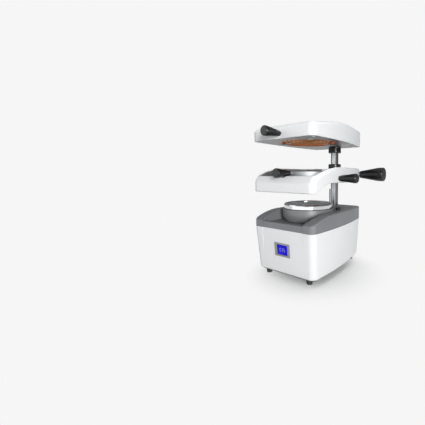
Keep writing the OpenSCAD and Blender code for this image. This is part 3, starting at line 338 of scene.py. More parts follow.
bezel_lo, bezel_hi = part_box("display_frame")
display_w = bezel_hi.x - bezel_lo.x
display_h = 0.0285
display_lap = 0.003
display_z = middle("display_frame")[2]
inlet_x, _, mains_z = middle("mains_inlet")
inlet_w = 0.0277
inlet_h = 0.0203
switch_x = middle("mains_switch_frame")[0]
switch_w = 0.0164
switch_h = 0.0234
fuse_x = middle("fuse_holder")[0]
fuse_hole_r = 0.00635
vent_count = 11
vent_pitch = 0.0056
vent_w = 0.0026
vent_h = 0.024
vent_z = 0.072
deep = 4 * wall
rear_holes = [(inlet_x, mains_z, inlet_w, inlet_h), (switch_x, mains_z, switch_w, switch_h)]
rear_holes += [((i - (vent_count - 1) / 2) * vent_pitch, vent_z, vent_w, vent_h) for i in range(vent_count)]
display_hole = (display_w - display_lap, deep, display_h - display_lap)
outwards = (0.0, math.cos(rear_turn), math.sin(rear_turn))
carve(housing, [panel_cutter(crease_foot_z, 0.0, seam_z),
                box_cutter(display_hole, on_front(0, display_z), front_turn)])
carve(housing, [box_cutter((w, deep, h), on_rear(x, z), rear_turn) for x, z, w, h in rear_holes])
carve(housing, [level_cutter(fuse_hole_r, on_rear(fuse_x, mains_z, -deep / 2), deep, outwards)])
dress(smooth(housing), white_abs, "base", "white_plastic", "base_housing")

# Bottom plate, feet and their screws
# A steel plate, pressed and powder-coated dark, closes the housing; four rubber feet are screwed up into it.
# Countersunk zinc-plated screws with a cross recess hold the plate at its corners.


def paint(material, *nodes):
    """Gives solids that stay in view their material."""
    for node in nodes:
        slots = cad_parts[node].data.materials
        slots.clear()
        slots.append(material)


# Dark powder coat: matt, with a grit of about 0.7 mm that shows only as a dull skin.
paint(finish("dark_powder_coat", [(1400.0, 2.0)], {"Roughness": 0.6}, ("#2c2e30", "#3c3f41"),
             relief=(0.25, 0.0003)),
      "bottom_plate")

# Moulded rubber: dark grey and matt, with a bloom in patches of about 4 mm.
paint(finish("black_moulded_rubber", [(260.0, 4.0)], {"Roughness": 0.82}, ("#2a2c2e", "#3c3e40"),
             relief=(0.1, 0.0005)),
      "rubber_feet", "table_seal", "motor_seal", "motor_mount", "clamp_seal")

# Zinc-plated steel: light grey metal with a faint mottle of about 1.5 mm.
zinc, tree, coords, shader = new_material("zinc_plated_steel")
mottle = add(tree, "ShaderNodeTexVoronoi", {"Vector": coords, "Scale": 700.0})
gloss = add(tree, "ShaderNodeMapRange", {"Value": mottle.outputs["Distance"], "To Min": 0.3, "To Max": 0.42})
feed(tree, shader, {"Base Color": to_linear("#c3c6c8"), "Metallic": 1.0,
                    "Roughness": gloss.outputs["Result"]})
paint(zinc, "table_screws", "socket_screws", "column_cap", "hinge_pin", "lock_screw")

recess_len = 0.0036
recess_w = 0.0009
recess_deep = 0.0011


def cross_recess(node, body):
    """A copy of a node's screws that stands for the node, with a cross recess in the lower face of each."""
    copy = bpy.data.objects.new(node + "_crossed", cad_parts[node].data.copy())
    bpy.context.scene.collection.objects.link(copy)
    shape = bmesh.new()
    shape.from_mesh(copy.data)
    bmesh.ops.remove_doubles(shape, verts=shape.verts, dist=0.00001)
    shape.to_mesh(copy.data)
    left = set(shape.verts)
    heads = []
    while left:
        island, edge_of = [], [left.pop()]
        while edge_of:
            point = edge_of.pop()
            island.append(point.co.copy())
            for link in point.link_edges:
                other = link.other_vert(point)
                if other in left:
                    left.remove(other)
                    edge_of.append(other)
        heads.append([(min(p[k] for p in island), max(p[k] for p in island)) for k in range(3)])
    shape.free()
    for (x0, x1), (y0, y1), (z0, _) in heads:
        place = ((x0 + x1) / 2 - axis_x, (y0 + y1) / 2 - axis_y, z0)
        carve(copy, [box_cutter((recess_len, recess_w, 2 * recess_deep), place),
                     box_cutter((recess_w, recess_len, 2 * recess_deep), place)])
    dress(smooth(copy), zinc, body, "steel", node)


cross_recess("housing_screws", "base")
cross_recess("foot_screws", "base")
cross_recess("base_plate_screws", "heater")

# Top cover
# A moulding in mid-grey ABS with a spark-eroded texture; its two wings rise in an arc beside the tray.
# It sits on the housing at the seam and carries the vacuum table, the column and the start button.
deck_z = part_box("top_cover")[1].z
foot_break = 0.0005
foot_inset = 0.0004
lip_z = 0.1195
lip_w = 0.010
lip_reach = 0.010
lip_space_h = 0.040
wing_front_z = 0.121
wing_level_y = -0.015
wing_w = 0.024
tray_z = 0.1145
tray_r = 0.061
tray_rear_y = 0.020
tray_front_corner_r = 0.006
tray_rear_corner_r = 0.004
tray_foot_inset = 0.0015
tray_head_inset = -0.001
tray_floor_t = 0.003
throat_r = 0.016
cover_fillet = 0.003
fillet_steps = 6
button_x, button_y, _ = middle("start_button")
button_hole_r = 0.0048
column_lo, column_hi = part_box("column")
column_r = (column_hi.x - column_lo.x) / 2
column_y = middle("column")[1]
pin_x = middle("guide_pin")[0]
pin_hole_r = 0.00155
snug = 0.00015
# How far the tool of a hollow starts below the foot of its piece.
overrun = 0.001

# Grey ABS with an even, fine grain of about half a millimetre, and paler clouds of about 45 mm.
grey_abs = finish("grey_grained_abs", [(1500.0, 2.0), (22.0, 4.0)], {"Roughness": 0.46},
                  ("#75767a", "#828486"), relief=(0.12, 0.0003), edge=0.0008)


def arch(y, level_y, level_z, run, rise):
    """Height of an arc at a depth: level at the rear, and lower by its rise where its run ends in front."""
    if y >= level_y:
        return level_z
    r = (run ** 2 + rise ** 2) / (2 * rise)
    return level_z - r + math.sqrt(r ** 2 - min(level_y - y, run) ** 2)


def cover_top(y):
    """Height of the wings and the deck at a depth."""
    return arch(y, wing_level_y, deck_z, wing_level_y - front_y, deck_z - wing_front_z)


def tray_cutters(z, grow):
    """The space of the tray from a height upwards, grown by a wall: a flared pan and the round recess."""
    high = deck_z + clear
    pan = [ring(half_plan(wing_w - grow + inset, front_y + lip_w - grow + inset, tray_rear_y + grow - inset,
                          tray_front_corner_r, tray_rear_corner_r), level)
           for inset, level in ((tray_foot_inset, z), (tray_head_inset, high))]
    return [skin("cutter", pan), round_cutter(tray_r + grow, z, high)]


def lip_cutter(grow):
    """The space above the front lip, which reaches a little over the tray, grown by a wall."""
    run = clear + lip_w + lip_reach
    size = (2 * (crease_x + grow), run + 2 * grow, lip_space_h)
    return box_cutter(size, (0, front_y - clear + run / 2, lip_z - grow + lip_space_h / 2))


rings = [ring(plan(foot_inset), seam_z), ring(plan(0.0), seam_z + foot_break)]
rings += [ring(plan(inset), lambda y, drop=drop: cover_top(y) - drop)
          for inset, drop in quarter(cover_fillet, fillet_steps)]
cover = skin("cover_shell", rings)
inside = skin("inside", [ring(plan(wall), seam_z - overrun),
                         ring(plan(wall), lambda y: cover_top(y) - wall - cover_fillet),
                         ring(plan(wall + cover_fillet), lambda y: cover_top(y) - wall)])
carve(inside, tray_cutters(tray_z - tray_floor_t, wall) + [lip_cutter(wall)])
carve(cover, [inside] + tray_cutters(tray_z, 0.0))
carve(cover, [lip_cutter(0.0),
              panel_cutter(seam_z - overrun, crease_depth, deck_z),
              round_cutter(throat_r, seam_z, deck_z),
              round_cutter(column_r + snug, seam_z, deck_z + clear, y=column_y),
              round_cutter(pin_hole_r, seam_z, deck_z + clear, pin_x, column_y, 32),
              round_cutter(button_hole_r, seam_z, deck_z + clear, button_x, button_y, 48)])
dress(smooth(cover), grey_abs, "base", "grey_plastic", "top_cover")

# Display
# A lit blue panel in a pressed-in frame of grey-brown ABS on the front, with its board on four posts behind.
# The digits are lit segments, which stand a hair proud of the panel.
window_w = 0.0287
window_h = 0.0217
window_t = 0.004
window_proud = 0.0001
window_edge = 0.0003
lamp_reach = 0.022

# Satin ABS: a grain of about 0.8 mm takes the shine off.
paint(finish("bezel_satin_abs", [(1200.0, 2.0)], {"Roughness": 0.4}, ("#8e8f88", "#9d9e97"),
             relief=(0.08, 0.0002), edge=0.0005),
      "display_frame")

# Lit liquid crystal: deep blue, paler towards its lower left where the lamp sits.
lit_blue, tree, coords, shader = new_material("lit_blue_display")
lamp_place = (axis_x - window_w / 2, bezel_lo.y, display_z - window_h / 2)
lamp = add(tree, "ShaderNodeVectorMath", {0: coords, 1: lamp_place}, operation="DISTANCE")
fade = add(tree, "ShaderNodeMapRange", {"Value": lamp.outputs["Value"], "From Min": 0.0,
                                        "From Max": lamp_reach, "To Min": 1.0, "To Max": 0.0})
blue = add(tree, "ShaderNodeMix", {"Factor": fade.outputs["Result"], "A": to_linear("#1408c4"),
                                   "B": to_linear("#2c2ce0")}, data_type="RGBA")
feed(tree, shader, {"Base Color": to_linear("#0a0640"), "Roughness": 0.12, "Specular IOR Level": 0.1,
                    "Emission Color": blue.outputs["Result"], "Emission Strength": 0.85})

# Lit segments: pale blue light, uneven by dots of about 1 mm.
lit_segment, tree, coords, shader = new_material("lit_pale_segment")
dots = add(tree, "ShaderNodeTexNoise", {"Vector": coords, "Scale": 900.0})
glow = add(tree, "ShaderNodeMix", {"Factor": dots.outputs["Fac"], "A": to_linear("#8c98ff"),
                                   "B": to_linear("#b0baff")}, data_type="RGBA")
feed(tree, shader, {"Base Color": to_linear("#202060"), "Roughness": 0.2,
                    "Emission Color": glow.outputs["Result"], "Emission Strength": 0.8})

window_place = on_front(0, display_z, window_proud - window_t / 2)
window = box_cutter((window_w, window_t, window_h), window_place, front_turn)
window.name = "display_panel"
soft_edge = window.modifiers.new("edge", "BEVEL")
soft_edge.width = window_edge
soft_edge.segments = 2
settle(window)
dress(smooth(window), lit_blue, "base", "display_glass", "display_window")

segment_len = 0.0032
segment_w = 0.0007
segment_proud = 0.00012
digit_pitch = 0.0054
# The lit segments of each digit, and the middle of each segment, in its own lengths from the digit's middle.
lit = {"0": "abcdef", "3": "abgcd", "5": "afgcd"}
segment_at = {"a": (0, 1), "b": (0.5, 0.5), "c": (0.5, -0.5), "d": (0, -1), "e": (-0.5, -0.5),
              "f": (-0.5, 0.5), "g": (0, 0)}
tip = (segment_len - segment_w) / 2
slim = segment_w / 2
flank = tip - slim
lying = [(-tip, 0), (-flank, -slim), (flank, -slim), (tip, 0), (flank, slim), (-flank, slim)]
upright = [(-v, u) for u, v in lying]
points = []
faces = []
for place, digit in enumerate("035", -1):
    for name in lit[digit]:
        sx, sz = segment_at[name]
        faces += prism_faces(len(lying), len(points))
        for out in (window_proud, window_proud + segment_proud):
            for u, v in upright if name in "bcef" else lying:
                x, y, z = on_front(place * digit_pitch + sx * segment_len + u,
                                   display_z + sz * segment_len + v * math.cos(front_turn), out)
                points.append((axis_x + x, axis_y + y, z))
dress(smooth(mesh_object("display_digits", points, faces)), lit_segment, "base", "display_glass")

# Vacuum table
# A turned aluminium bowl with a satin grey enamel, screwed to the tray floor. A rubber seal and a chromed
# brass ring lie on its rim, and a drilled aluminium plate lets the air through.

# Satin enamel: a skin like orange peel, in bumps of about 2.5 mm, and soft clouds of tone.
paint(finish("satin_grey_enamel", [(420.0, 2.0), (30.0, 4.0)], {"Roughness": 0.38, "Metallic": 0.25},
             ("#7b7d7e", "#878989"), relief=(0.04, 0.0005)),
      "vacuum_table")

# Bright chrome plate, polished: a haze of about 15 mm patches dulls its mirror a little.
paint(finish("polished_chrome_plate", [(60.0, 4.0)], {"Base Color": to_linear("#d2d4d6"), "Metallic": 1.0},
             gloss=(0.05, 0.12)),
      "table_ring")

# Aluminium turned on a face lathe: rings about the table axis, drawn coarser than real so that they show.
turned_plate, tree, coords, shader = new_material("face_turned_aluminium")
centred = add(tree, "ShaderNodeMapping", {"Vector": coords, "Location": (-axis_x, -axis_y, 0.0)})
grooves = add(tree, "ShaderNodeTexWave", {"Vector": centred.outputs["Vector"], "Scale": 420.0,
                                          "Distortion": 0.4}, wave_type="RINGS", rings_direction="Z")
bump = add(tree, "ShaderNodeBump", {"Height": grooves.outputs["Fac"], "Strength": 0.12, "Distance": 0.0002})
gloss = add(tree, "ShaderNodeMapRange", {"Value": grooves.outputs["Fac"], "To Min": 0.3, "To Max": 0.45})
feed(tree, shader, {"Base Color": to_linear("#c0c2c4"), "Metallic": 1.0, "Roughness": gloss.outputs["Result"],
                    "Normal": bump.outputs["Normal"]})
paint(turned_plate, "perforated_plate")

# Motor, fan and control board
# The suction motor hangs below the table in a die-cast case on a rubber mount; its wheel draws the air down.
# The board on four posts behind it times the cycle. None of it shows when the housing is shut.

# Die-cast aluminium: a dull metal with a skin of pores, about 2 mm apart.
paint(finish("die_cast_aluminium", [(500.0, 4.0)],
             {"Base Color": to_linear("#a6a9ab"), "Metallic": 1.0, "Roughness": 0.48}, relief=(0.15, 0.0004)),
      "motor_body", "column_socket", "heater_hub")

# Aluminium turned and left bright: the marks of the tool run round it.
turned, tree, coords, shader = new_material("bright_turned_aluminium")
passes = add(tree, "ShaderNodeTexWave", {"Vector": coords, "Scale": 500.0, "Distortion": 0.6},
             bands_direction="Z")
bump = add(tree, "ShaderNodeBump", {"Height": passes.outputs["Fac"], "Strength": 0.1, "Distance": 0.0002})
feed(tree, shader, {"Base Color": to_linear("#acaeb0"), "Metallic": 1.0, "Roughness": 0.55,
                    "Normal": bump.outputs["Normal"]})
paint(turned, "fan_wheel", "support_ring", "clamp_ring", "coil_clips")

# Green solder lacquer on glass-fibre board, with a faint weave of 0.8 mm squares.
lacquer, tree, coords, shader = new_material("green_board_lacquer")
weave = add(tree, "ShaderNodeTexChecker", {"Vector": coords, "Scale": 1200.0, "Color1": to_linear("#1c5a38"),
                                           "Color2": to_linear("#226a42")})
feed(tree, shader, {"Base Color": weave.outputs["Color"], "Roughness": 0.35})
paint(lacquer, "control_board", "display_board")

# Mains fittings and start button
# Snap-in fittings of black polyamide sit in the rear wall: an appliance inlet, a rocker switch and a fuse
# holder. The start button on the deck is the same black plastic.

# Moulded polyamide: black, with a dull grain of about 1 mm and little shine.
black_pa = finish("black_moulded_polyamide", [(900.0, 2.0)], {"Roughness": 0.42, "Specular IOR Level": 0.3},
                  ("#0c0d0e", "#151617"), relief=(0.06, 0.0002), edge=0.0003)
paint(black_pa, "mains_inlet", "mains_switch_frame", "mains_rocker", "fuse_holder", "start_switch")

# Each pair is a radius and a height above the deck: a stem, its collar, the flank and the crown of the head.
button_profile = [(0.0045, -0.006), (0.0045, 0.0024), (0.0054, 0.0026), (0.0056, 0.0030), (0.0056, 0.0048),
                  (0.0053, 0.0055), (0.0044, 0.0060), (0.0022, 0.0063), (0.0003, 0.0064)]
button_steps = 48
start = -math.pi / 2 + math.pi / button_steps
button_rings = []
for r, rise in button_profile:
    circle = arc(axis_x + button_x, axis_y + button_y, r, start, start + 2 * math.pi, button_steps)[:-1]
    button_rings.append([(x, y, deck_z + rise) for x, y in circle])
button_head = skin("start_button_head", button_rings)
dress(smooth(button_head, angle=50), black_pa, "button", "black_plastic", "start_button")

# Column
# A ground steel tube stands in a cast socket below the deck. The sheet frame slides on it, and the heater
# turns about its head, between a stop collar and a cap.

# Ground steel: bright, with fine grinding marks round it, drawn about 0.6 mm apart so that they show.
ground_steel, tree, coords, shader = new_material("ground_steel_tube")
squeezed = add(tree, "ShaderNodeMapping", {"Vector": coords, "Scale": (60.0, 60.0, 1600.0)})
marks = add(tree, "ShaderNodeTexNoise", {"Vector": squeezed.outputs["Vector"], "Scale": 1.0, "Detail": 3.0})
gloss = add(tree, "ShaderNodeMapRange", {"Value": marks.outputs["Fac"], "To Min": 0.3, "To Max": 0.36})
bump = add(tree, "ShaderNodeBump", {"Height": marks.outputs["Fac"], "Strength": 0.05, "Distance": 0.0001})
feed(tree, shader, {"Base Color": to_linear("#888a8c"), "Metallic": 1.0, "Roughness": gloss.outputs["Result"],
                    "Normal": bump.outputs["Normal"]})
paint(ground_steel, "column")

# The guide pin is blackened steel, a dull black with wear in patches of about 5 mm.
paint(finish("blackened_steel", [(220.0, 4.0)], {"Roughness": 0.6, "Specular IOR Level": 0.25},
             ("#060606", "#101111")),
      "guide_pin")

# White acetal washer under the heater hub: waxy, and cloudy by about 12 mm.
paint(finish("natural_acetal", [(80.0, 2.0)], {"Roughness": 0.35, "Subsurface Weight": 0.1},
             ("#ddd9cc", "#e8e4d8")),
      "thrust_washer")

# Sheet frame
# A white ABS moulding with a deep front bar and two arms that rise in an arc to the hub block on the column.
# Its floor is a thin web with a round opening, and a dark liner covers the inside of the arms.
frame_lo, frame_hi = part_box("sheet_frame")
frame_bottom_z = frame_lo.z
frame_top_z = frame_hi.z
frame_front_top_z = 0.2114
web_z = 0.2015
web_t = 0.0035
above_z = web_z + 0.06
below_z = web_z - 0.04
arm_w = 0.005
arm_level_y = 0.010
belly_level_y = -0.030
front_bar_d = 0.010
hub_y = 0.084
well_front_corner_r = 0.005
well_rear_corner_r = 0.003
edge_round = 0.0022
bevel_drop = 0.0105
bevel_front = 0.0088
bevel_side = 0.0040
bevel_end_y = 0.012
# Each pair is a share of the bevel's way in and a share of its drop.
bevel_profile = [(0.0, 1.0), (0.02, 0.94), (0.07, 0.86), (0.90, 0.09), (0.96, 0.03), (1.0, 0.0)]
ring_lo, ring_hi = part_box("support_ring")
support_r = (ring_hi.x - ring_lo.x) / 2
support_seat = 0.0015
opening_r = 0.0585
bush_hole_r = 0.01185
guide_hole_r = 0.0018
lock_z = middle("lock_knob")[2]
lock_hole_r = 0.00405
_, knob_y, knob_z = middle("clamp_screw_knob")
knob_hole_r = 0.00255
knob_hole_x = 0.02
grip_z = 0.2216
grip_end_y = -0.0635
grip_end_r = 0.0095
grip_gap = 0.0004
grip_len = 0.041


def arm_top(y):
    """Height of the top of the arms at a depth."""
    return arch(y, arm_level_y, frame_top_z, arm_level_y - front_y, frame_top_z - frame_front_top_z)


def arm_bottom(y):
    """Height of the underside of the arms at a depth."""
    return arch(y, belly_level_y, web_z, belly_level_y - front_y - front_bar_d, web_z - frame_bottom_z)


def bevel_height(y):
    """Height of the bevel along the top edge: full at the front bar, and running out along the arms."""
    k = max(0.0, (bevel_end_y - y) / (bevel_end_y - front_y))
    return edge_round + (bevel_drop - edge_round) * k


def bevel_plan(k):
    """Plan of the bevel at a share of its way in."""
    return half_plan(k * bevel_side, front_y + k * bevel_front, rear_y - k * edge_round,
                     front_corner_r - k * (bevel_front + bevel_side) / 2, rear_corner_r - k * edge_round)


well = half_plan(arm_w, front_y + front_bar_d, hub_y, well_front_corner_r, well_rear_corner_r)
rings = [ring(plan(inset), lambda y, lift=lift: arm_bottom(y) + lift)
         for lift, inset in quarter(edge_round, fillet_steps)]
rings += [ring(bevel_plan(k), lambda y, drop=drop: arm_top(y) - drop * bevel_height(y))
          for k, drop in bevel_profile]
holder = skin("frame_shell", rings)
carve(holder, [skin("cutter", [ring(well, web_z + web_t), ring(well, above_z)]),
               skin("cutter", [ring(well, below_z), ring(well, web_z)]),
               round_cutter(support_r + snug, web_z + support_seat, above_z),
               round_cutter(opening_r, web_z - clear, above_z),
               round_cutter(bush_hole_r, web_z - clear, above_z, y=column_y),
               round_cutter(guide_hole_r, web_z - clear, above_z, pin_x, column_y, 32),
               level_cutter(grip_end_r + grip_gap, (0.0, grip_end_y, grip_z), grip_len, (0, -1, 0), 64),
               level_cutter(lock_hole_r, (0.0, column_y, lock_z), half_w + clear, (1, 0, 0)),
               level_cutter(knob_hole_r, (knob_hole_x, knob_y, knob_z), half_w, (1, 0, 0))])
dress(smooth(holder), white_abs, "frame", "white_plastic", "sheet_frame")

# Liner
# A thin tray, moulded in dark grey ABS with a fine grain.
# It is glued into the frame, and covers its floor and the inside of the arms.

# Dark grained ABS: an even grain of about 0.8 mm keeps it dull.
paint(finish("liner_dark_abs", [(1300.0, 2.0)], {"Roughness": 0.45}, ("#6c6f70", "#7a7d7e"),
             relief=(0.1, 0.0003), edge=0.0005),
      "frame_liner")

# Hand grips and collars
# Turned grips of black phenolic on steel studs: two pull handles, the side knob and the large locking knob.
# The two collars on the column are the same material.

# Polished phenolic: a deep black gloss with a faint swirl of about 6 mm.
paint(finish("black_phenolic", [(160.0, 4.0)], {"Roughness": 0.3, "Specular IOR Level": 0.4},
             ("#0b0b0c", "#18191a"), relief=(0.05, 0.0004)),
      "clamp_grip", "heater_grip", "clamp_screw_knob", "lock_knob", "slide_bush", "stop_collar")

# Heater cover
# A white ABS hood, open below, whose side walls rise towards the rear and whose top is crowned.
# It is screwed to the base plate from below.
hood_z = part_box("heater_cover")[0].z
hood_front_h = 0.0204
hood_rear_h = 0.0364
hood_wall = 0.0026
crown_h = 0.008
knee_y = 0.0
level_y = 0.040
# Each pair is an inset and a rise above the side wall, which the crown gives as a share of its height.
hood_edge = [(0.0, -0.0012), (0.0004, -0.0003), (0.0014, 0.0008)]
inner_edge = [(0.0, 0.4 * hood_wall)]
crown = [(0.007, 0.6), (0.014, 0.8), (0.022, 0.92), (0.031, 0.975), (0.040, 1.0)]


def hood_side(y):
    """Height of the side wall of the hood at a depth."""
    bend_y = (level_y + knee_y) / 2
    slope = (hood_rear_h - hood_front_h) / (bend_y - front_y)
    if y >= level_y:
        return hood_z + hood_rear_h
    if y >= knee_y:
        return hood_z + hood_rear_h - slope * (level_y - y) ** 2 / (2 * (level_y - knee_y))
    return hood_z + hood_rear_h - slope * (bend_y - y)


def hood_rings(pairs, inset=0.0, drop=0.0):
    """Rings at pairs of an inset and a rise above the side wall, all set further in and lower."""
    return [ring(plan(more + inset), lambda y, rise=rise: hood_side(y) + rise - drop) for more, rise in pairs]


crown_rise = [(inset, k * crown_h) for inset, k in crown]
outer = [ring(plan(foot_break), hood_z), ring(plan(0.0), hood_z + foot_break)]
outer += hood_rings(hood_edge + crown_rise)
inner = [ring(plan(hood_wall), hood_z - overrun)]
inner += hood_rings(inner_edge + crown_rise, hood_wall, hood_wall)
hood = carve(skin("heater_hood", outer), [skin("cutter", inner)])
dress(smooth(hood, angle=28), white_abs, "heater", "white_plastic", "heater_cover")

# Heater base plate and reflector
# A steel plate with a semi-gloss grey paint closes the hood; the spun aluminium dish above its round opening
# throws the heat down, and has taken a brown tint from it.

# Semi-gloss paint: grey with broad blotches of about 30 mm, and browned by heat around the opening.
browned_from_r = 0.065
browned_to_r = 0.074
plate_paint, tree, coords, shader = new_material("semi_gloss_grey_paint")
blotch = add(tree, "ShaderNodeTexNoise", {"Vector": coords, "Scale": 35.0, "Detail": 5.0})
tone = add(tree, "ShaderNodeMix", {"Factor": blotch.outputs["Fac"], "A": to_linear("#6c6e6e"),
                                   "B": to_linear("#7e8080")}, data_type="RGBA")
flat = add(tree, "ShaderNodeMapping", {"Vector": coords, "Location": (-axis_x, -axis_y, 0.0),
                                       "Scale": (1.0, 1.0, 0.0)})
reach = add(tree, "ShaderNodeVectorMath", {0: flat.outputs["Vector"]}, operation="LENGTH")
heat = add(tree, "ShaderNodeMapRange", {"Value": reach.outputs["Value"], "From Min": browned_from_r,
                                        "From Max": browned_to_r, "To Min": 0.85, "To Max": 0.0})
browned = add(tree, "ShaderNodeMix", {"Factor": heat.outputs["Result"], "A": tone.outputs["Result"],
                                      "B": to_linear("#8a4e34")}, data_type="RGBA")
gloss = add(tree, "ShaderNodeMapRange", {"Value": blotch.outputs["Fac"], "To Min": 0.28, "To Max": 0.42})
feed(tree, shader, {"Base Color": browned.outputs["Result"], "Roughness": gloss.outputs["Result"],
                    "Metallic": 0.3})
paint(plate_paint, "heater_base_plate")

# Spun aluminium with a heat tint: copper-brown bands round the axis, and a faint painted glow that lifts the
# dish out of the shade under the hood.
tinted, tree, coords, shader = new_material("heat_tinted_aluminium")
centred = add(tree, "ShaderNodeMapping", {"Vector": coords, "Location": (-axis_x, -axis_y, 0.0)})
bands = add(tree, "ShaderNodeTexWave", {"Vector": centred.outputs["Vector"], "Scale": 18.0,
                                        "Distortion": 1.5}, wave_type="RINGS", rings_direction="Z")
tone = add(tree, "ShaderNodeMix", {"Factor": bands.outputs["Fac"], "A": to_linear("#8c4a2c"),
                                   "B": to_linear("#b06a44")}, data_type="RGBA")
# The emission is a painted glow: it brightens the shaded dish, which gives no light of its own.
feed(tree, shader, {"Base Color": tone.outputs["Result"], "Metallic": 0.8, "Roughness": 0.35,
                    "Emission Color": to_linear("#b4602a"), "Emission Strength": 0.12})
paint(tinted, "reflector")

# Heating tube
# One sheathed heating tube, wound flat in four and a half turns and turned orange-brown by its heat.
# Ceramic bars keep it off the dish, and bent clips below the plate carry its outer turns.
coil_z = middle("heating_coil")[2]
coil_tube_r = 0.0031
coil_outer_r = 0.054
coil_turns = 4.5
coil_pitch = 0.009
coil_start = math.radians(-60)
coil_sides = 12
coil_rings = 48

# Steel sheath coloured by heat: orange-brown scale in marks of about 6 mm, and a faint painted glow that
# lifts it out of the shade under the hood.
heat_coloured_sheath_with_painted_glow = finish("heat_coloured_steel_sheath", [(180.0, 4.0)],
                    {"Metallic": 0.4, "Roughness": 0.5, "Emission Color": to_linear("#b8763c"),
                     "Emission Strength": 0.2}, ("#9c5c34", "#d49a62"))

winding = bpy.data.node_groups.new("flat_spiral_tube", "GeometryNodeTree")
face = winding.interface
face.new_socket("Geometry", in_out="INPUT", socket_type="NodeSocketGeometry")
inputs = {}
for kind, labels in (("Float", ("Outer radius", "Inner radius", "Turns", "Tube radius")),
                     ("Int", ("Rings a turn", "Sides")), ("Vector", ("Place", "Turn")),
                     ("Material", ("Finish",))):
    for label in labels:
        socket = face.new_socket(label, in_out="INPUT", socket_type="NodeSocket" + kind)
        inputs[label] = socket.identifier
face.new_socket("Geometry", in_out="OUTPUT", socket_type="NodeSocketGeometry")
given = add(winding, "NodeGroupInput").outputs
spiral = add(winding, "GeometryNodeCurveSpiral",
             {"Resolution": given["Rings a turn"], "Rotations": given["Turns"], "Height": 0.0,
              "Start Radius": given["Outer radius"], "End Radius": given["Inner radius"]})
section = add(winding, "GeometryNodeCurvePrimitiveCircle",
              {"Resolution": given["Sides"], "Radius": given["Tube radius"]})
tube = add(winding, "GeometryNodeCurveToMesh",
           {"Curve": spiral.outputs["Curve"], "Profile Curve": section.outputs["Curve"], "Fill Caps": True})
placed = add(winding, "GeometryNodeTransform",
             {"Geometry": tube.outputs["Mesh"], "Translation": given["Place"], "Rotation": given["Turn"]})
real = add(winding, "GeometryNodeRealizeInstances", {"Geometry": placed.outputs["Geometry"]})
clad = add(winding, "GeometryNodeSetMaterial",
           {"Geometry": real.outputs["Geometry"], "Material": given["Finish"]})
add(winding, "NodeGroupOutput", {"Geometry": clad.outputs["Geometry"]})


def grow(name, points, tree, values):
    """Runs a geometry tree on an object of loose points, and gives the plain mesh that it makes."""
    made = mesh_object(name, points, [])
    change = made.modifiers.new("grow", "NODES")
    change.node_group = tree
    for label, value in values.items():
        change[inputs[label]] = value
    settle(made)
    return made


coil = grow("heating_tube", [(axis_x, axis_y, coil_z)], winding, {
    "Outer radius": coil_outer_r, "Inner radius": coil_outer_r - coil_turns * coil_pitch, "Turns": coil_turns,
    "Rings a turn": coil_rings, "Tube radius": coil_tube_r, "Sides": coil_sides,
    "Place": (axis_x, axis_y, coil_z), "Turn": (0.0, 0.0, coil_start), "Finish": heat_coloured_sheath_with_painted_glow})
dress(smooth(coil, angle=50), heat_coloured_sheath_with_painted_glow, "heater", "coil_metal", "heating_coil")

# Steatite: dry and slightly pitted, by pits about 1.5 mm apart, and browned by the heat.
paint(finish("unglazed_steatite", [(600.0, 3.0)], {"Roughness": 0.75}, ("#96785e", "#b89c80"),
             relief=(0.2, 0.0003)),
      "coil_supports", "terminal_block")

# Studio
# A seamless pale floor and backdrop. The floor gives off its own tone, which fades towards its middle as a
# painted shadow under the machine, and it takes a faint real shadow by the feet.
# A key light stands at the right front, with softer ones above, at the left and behind. Two cards show only
# as reflections; the column has one of its own, and takes no key light.
backdrop_hex = "#f6f6f6"
floor_r = 6.0
floor_steps = 96
painted_shadow_from_r = 0.05
painted_shadow_to_r = 0.17
floor_rim = arc(0.0, 0.0, floor_r, 0, 2 * math.pi, floor_steps)[:-1]
floor = mesh_object("studio_floor", [(x, y, 0.0) for x, y in floor_rim], [tuple(range(floor_steps))])

# Pale paper: matt, and glowing with its own tone away from the machine. Towards the middle, the glow fades to
# matt as a painted shadow under the machine.
paper, tree, coords, shader = new_material("pale_paper", "ShaderNodeMixShader")
away = add(tree, "ShaderNodeVectorMath", {0: coords}, operation="LENGTH")
# The fall of the glow with distance from the middle is a painted shadow, not one that the machine casts.
share = add(tree, "ShaderNodeMapRange", {"Value": away.outputs["Value"], "From Min": painted_shadow_from_r,
                                         "From Max": painted_shadow_to_r, "To Min": 0.1, "To Max": 1.0},
            interpolation_type="SMOOTHSTEP")
matt = add(tree, "ShaderNodeBsdfDiffuse", {"Color": to_linear("#e8e8e8")})
lit_paper = add(tree, "ShaderNodeEmission", {"Color": to_linear(backdrop_hex), "Strength": 1.0})
feed(tree, shader, {0: share.outputs["Result"], 1: matt.outputs["BSDF"], 2: lit_paper.outputs["Emission"]})
floor.data.materials.append(paper)
# The bright floor shows in gloss, and lights no matt face of the machine.
floor.visible_diffuse = False

# The camera sees the world as bright as the floor; the light that it gives is weaker, and most from above.
world = bpy.data.worlds.new("studio")
bpy.context.scene.world = world
world.use_nodes = True
tree = world.node_tree
tree.nodes.clear()
path = add(tree, "ShaderNodeLightPath")
toward = add(tree, "ShaderNodeTexCoord")
height = add(tree, "ShaderNodeSeparateXYZ", {"Vector": toward.outputs["Generated"]})
level = add(tree, "ShaderNodeMapRange", {"Value": height.outputs["Z"], "From Min": -0.6, "From Max": 0.6,
                                         "To Min": 0.13, "To Max": 0.31})
seen = add(tree, "ShaderNodeBackground", {"Color": to_linear(backdrop_hex), "Strength": 1.0})
around = add(tree, "ShaderNodeBackground", {"Color": to_linear("#f4f6f8"),
                                            "Strength": level.outputs["Result"]})
chosen = add(tree, "ShaderNodeMixShader", {0: path.outputs["Is Camera Ray"], 1: around.outputs["Background"],
                                           2: seen.outputs["Background"]})
add(tree, "ShaderNodeOutputWorld", {"Surface": chosen.outputs["Shader"]})

# Height on the table axis that every light points at.
aim_z = 0.18


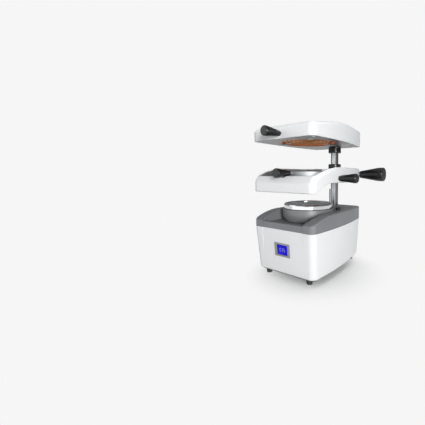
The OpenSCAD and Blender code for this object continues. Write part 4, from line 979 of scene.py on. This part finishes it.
def soft_light(name, place, size, watts, mirrored=True, lights_matt=True, takers=(), state="INCLUDE"):
    """A square area light, which may leave out gloss or matt faces, and take in or leave out some solids."""
    data = bpy.data.lights.new(name, "AREA")
    data.shape = "SQUARE"
    data.size = size
    data.energy = watts
    light = bpy.data.objects.new(name, data)
    light.location = place
    towards = Vector((axis_x, axis_y, aim_z)) - Vector(place)
    light.rotation_euler = towards.to_track_quat("-Z", "Y").to_euler()
    light.visible_glossy = mirrored
    light.visible_diffuse = lights_matt
    light.visible_camera = False
    bpy.context.scene.collection.objects.link(light)
    if takers:
        linked = bpy.data.collections.new(name + "_takers")
        light.light_linking.receiver_collection = linked
        for k, node in enumerate(takers):
            linked.objects.link(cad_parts[node])
            linked.collection_objects[k].light_linking.link_state = state


soft_light("key_light", (1.33, -1.1, 0.40), 0.5, 28.0, takers=("column",), state="EXCLUDE")
soft_light("top_light", (0.1, 0.2, 1.6), 0.6, 8.5)
soft_light("left_light", (-1.35, -1.25, 0.6), 1.0, 4.5)
soft_light("rear_light", (-0.9, 1.5, 0.4), 0.8, 14.0, mirrored=False)
soft_light("front_card", (0.1, -1.1, 0.2), 2.5, 13.0, lights_matt=False, takers=("column",), state="EXCLUDE")
soft_light("column_card", (0.1, -1.0, 0.2), 2.5, 60.0, lights_matt=False, takers=("column",))

# Camera
# It stands before the right front corner, a little above the vacuum table, as the photograph's did. The
# photograph shows the machine right of its middle, which the shift of the lens follows.
image_px = 425
focal_px = 247.17
centre_px = (315.24, 195.18)
yaw = 34.886
pitch = 4.62
sensor_mm = 36.0
# From the table axis to the right and to the rear, and above the floor.
eye = (0.33994, -0.45975, 0.21755)
lens = bpy.data.cameras.new("camera")
lens.sensor_width = sensor_mm
lens.lens = focal_px / image_px * sensor_mm
lens.shift_x = (image_px / 2 - centre_px[0]) / image_px
lens.shift_y = (centre_px[1] - image_px / 2) / image_px
lens.clip_start = 0.01
camera = bpy.data.objects.new("camera", lens)
camera.location = (axis_x + eye[0], axis_y + eye[1], eye[2])
camera.rotation_euler = (math.radians(90 - pitch), 0.0, math.radians(yaw))
bpy.context.scene.collection.objects.link(camera)
bpy.context.scene.camera = camera
bpy.context.scene.view_settings.view_transform = "Standard"
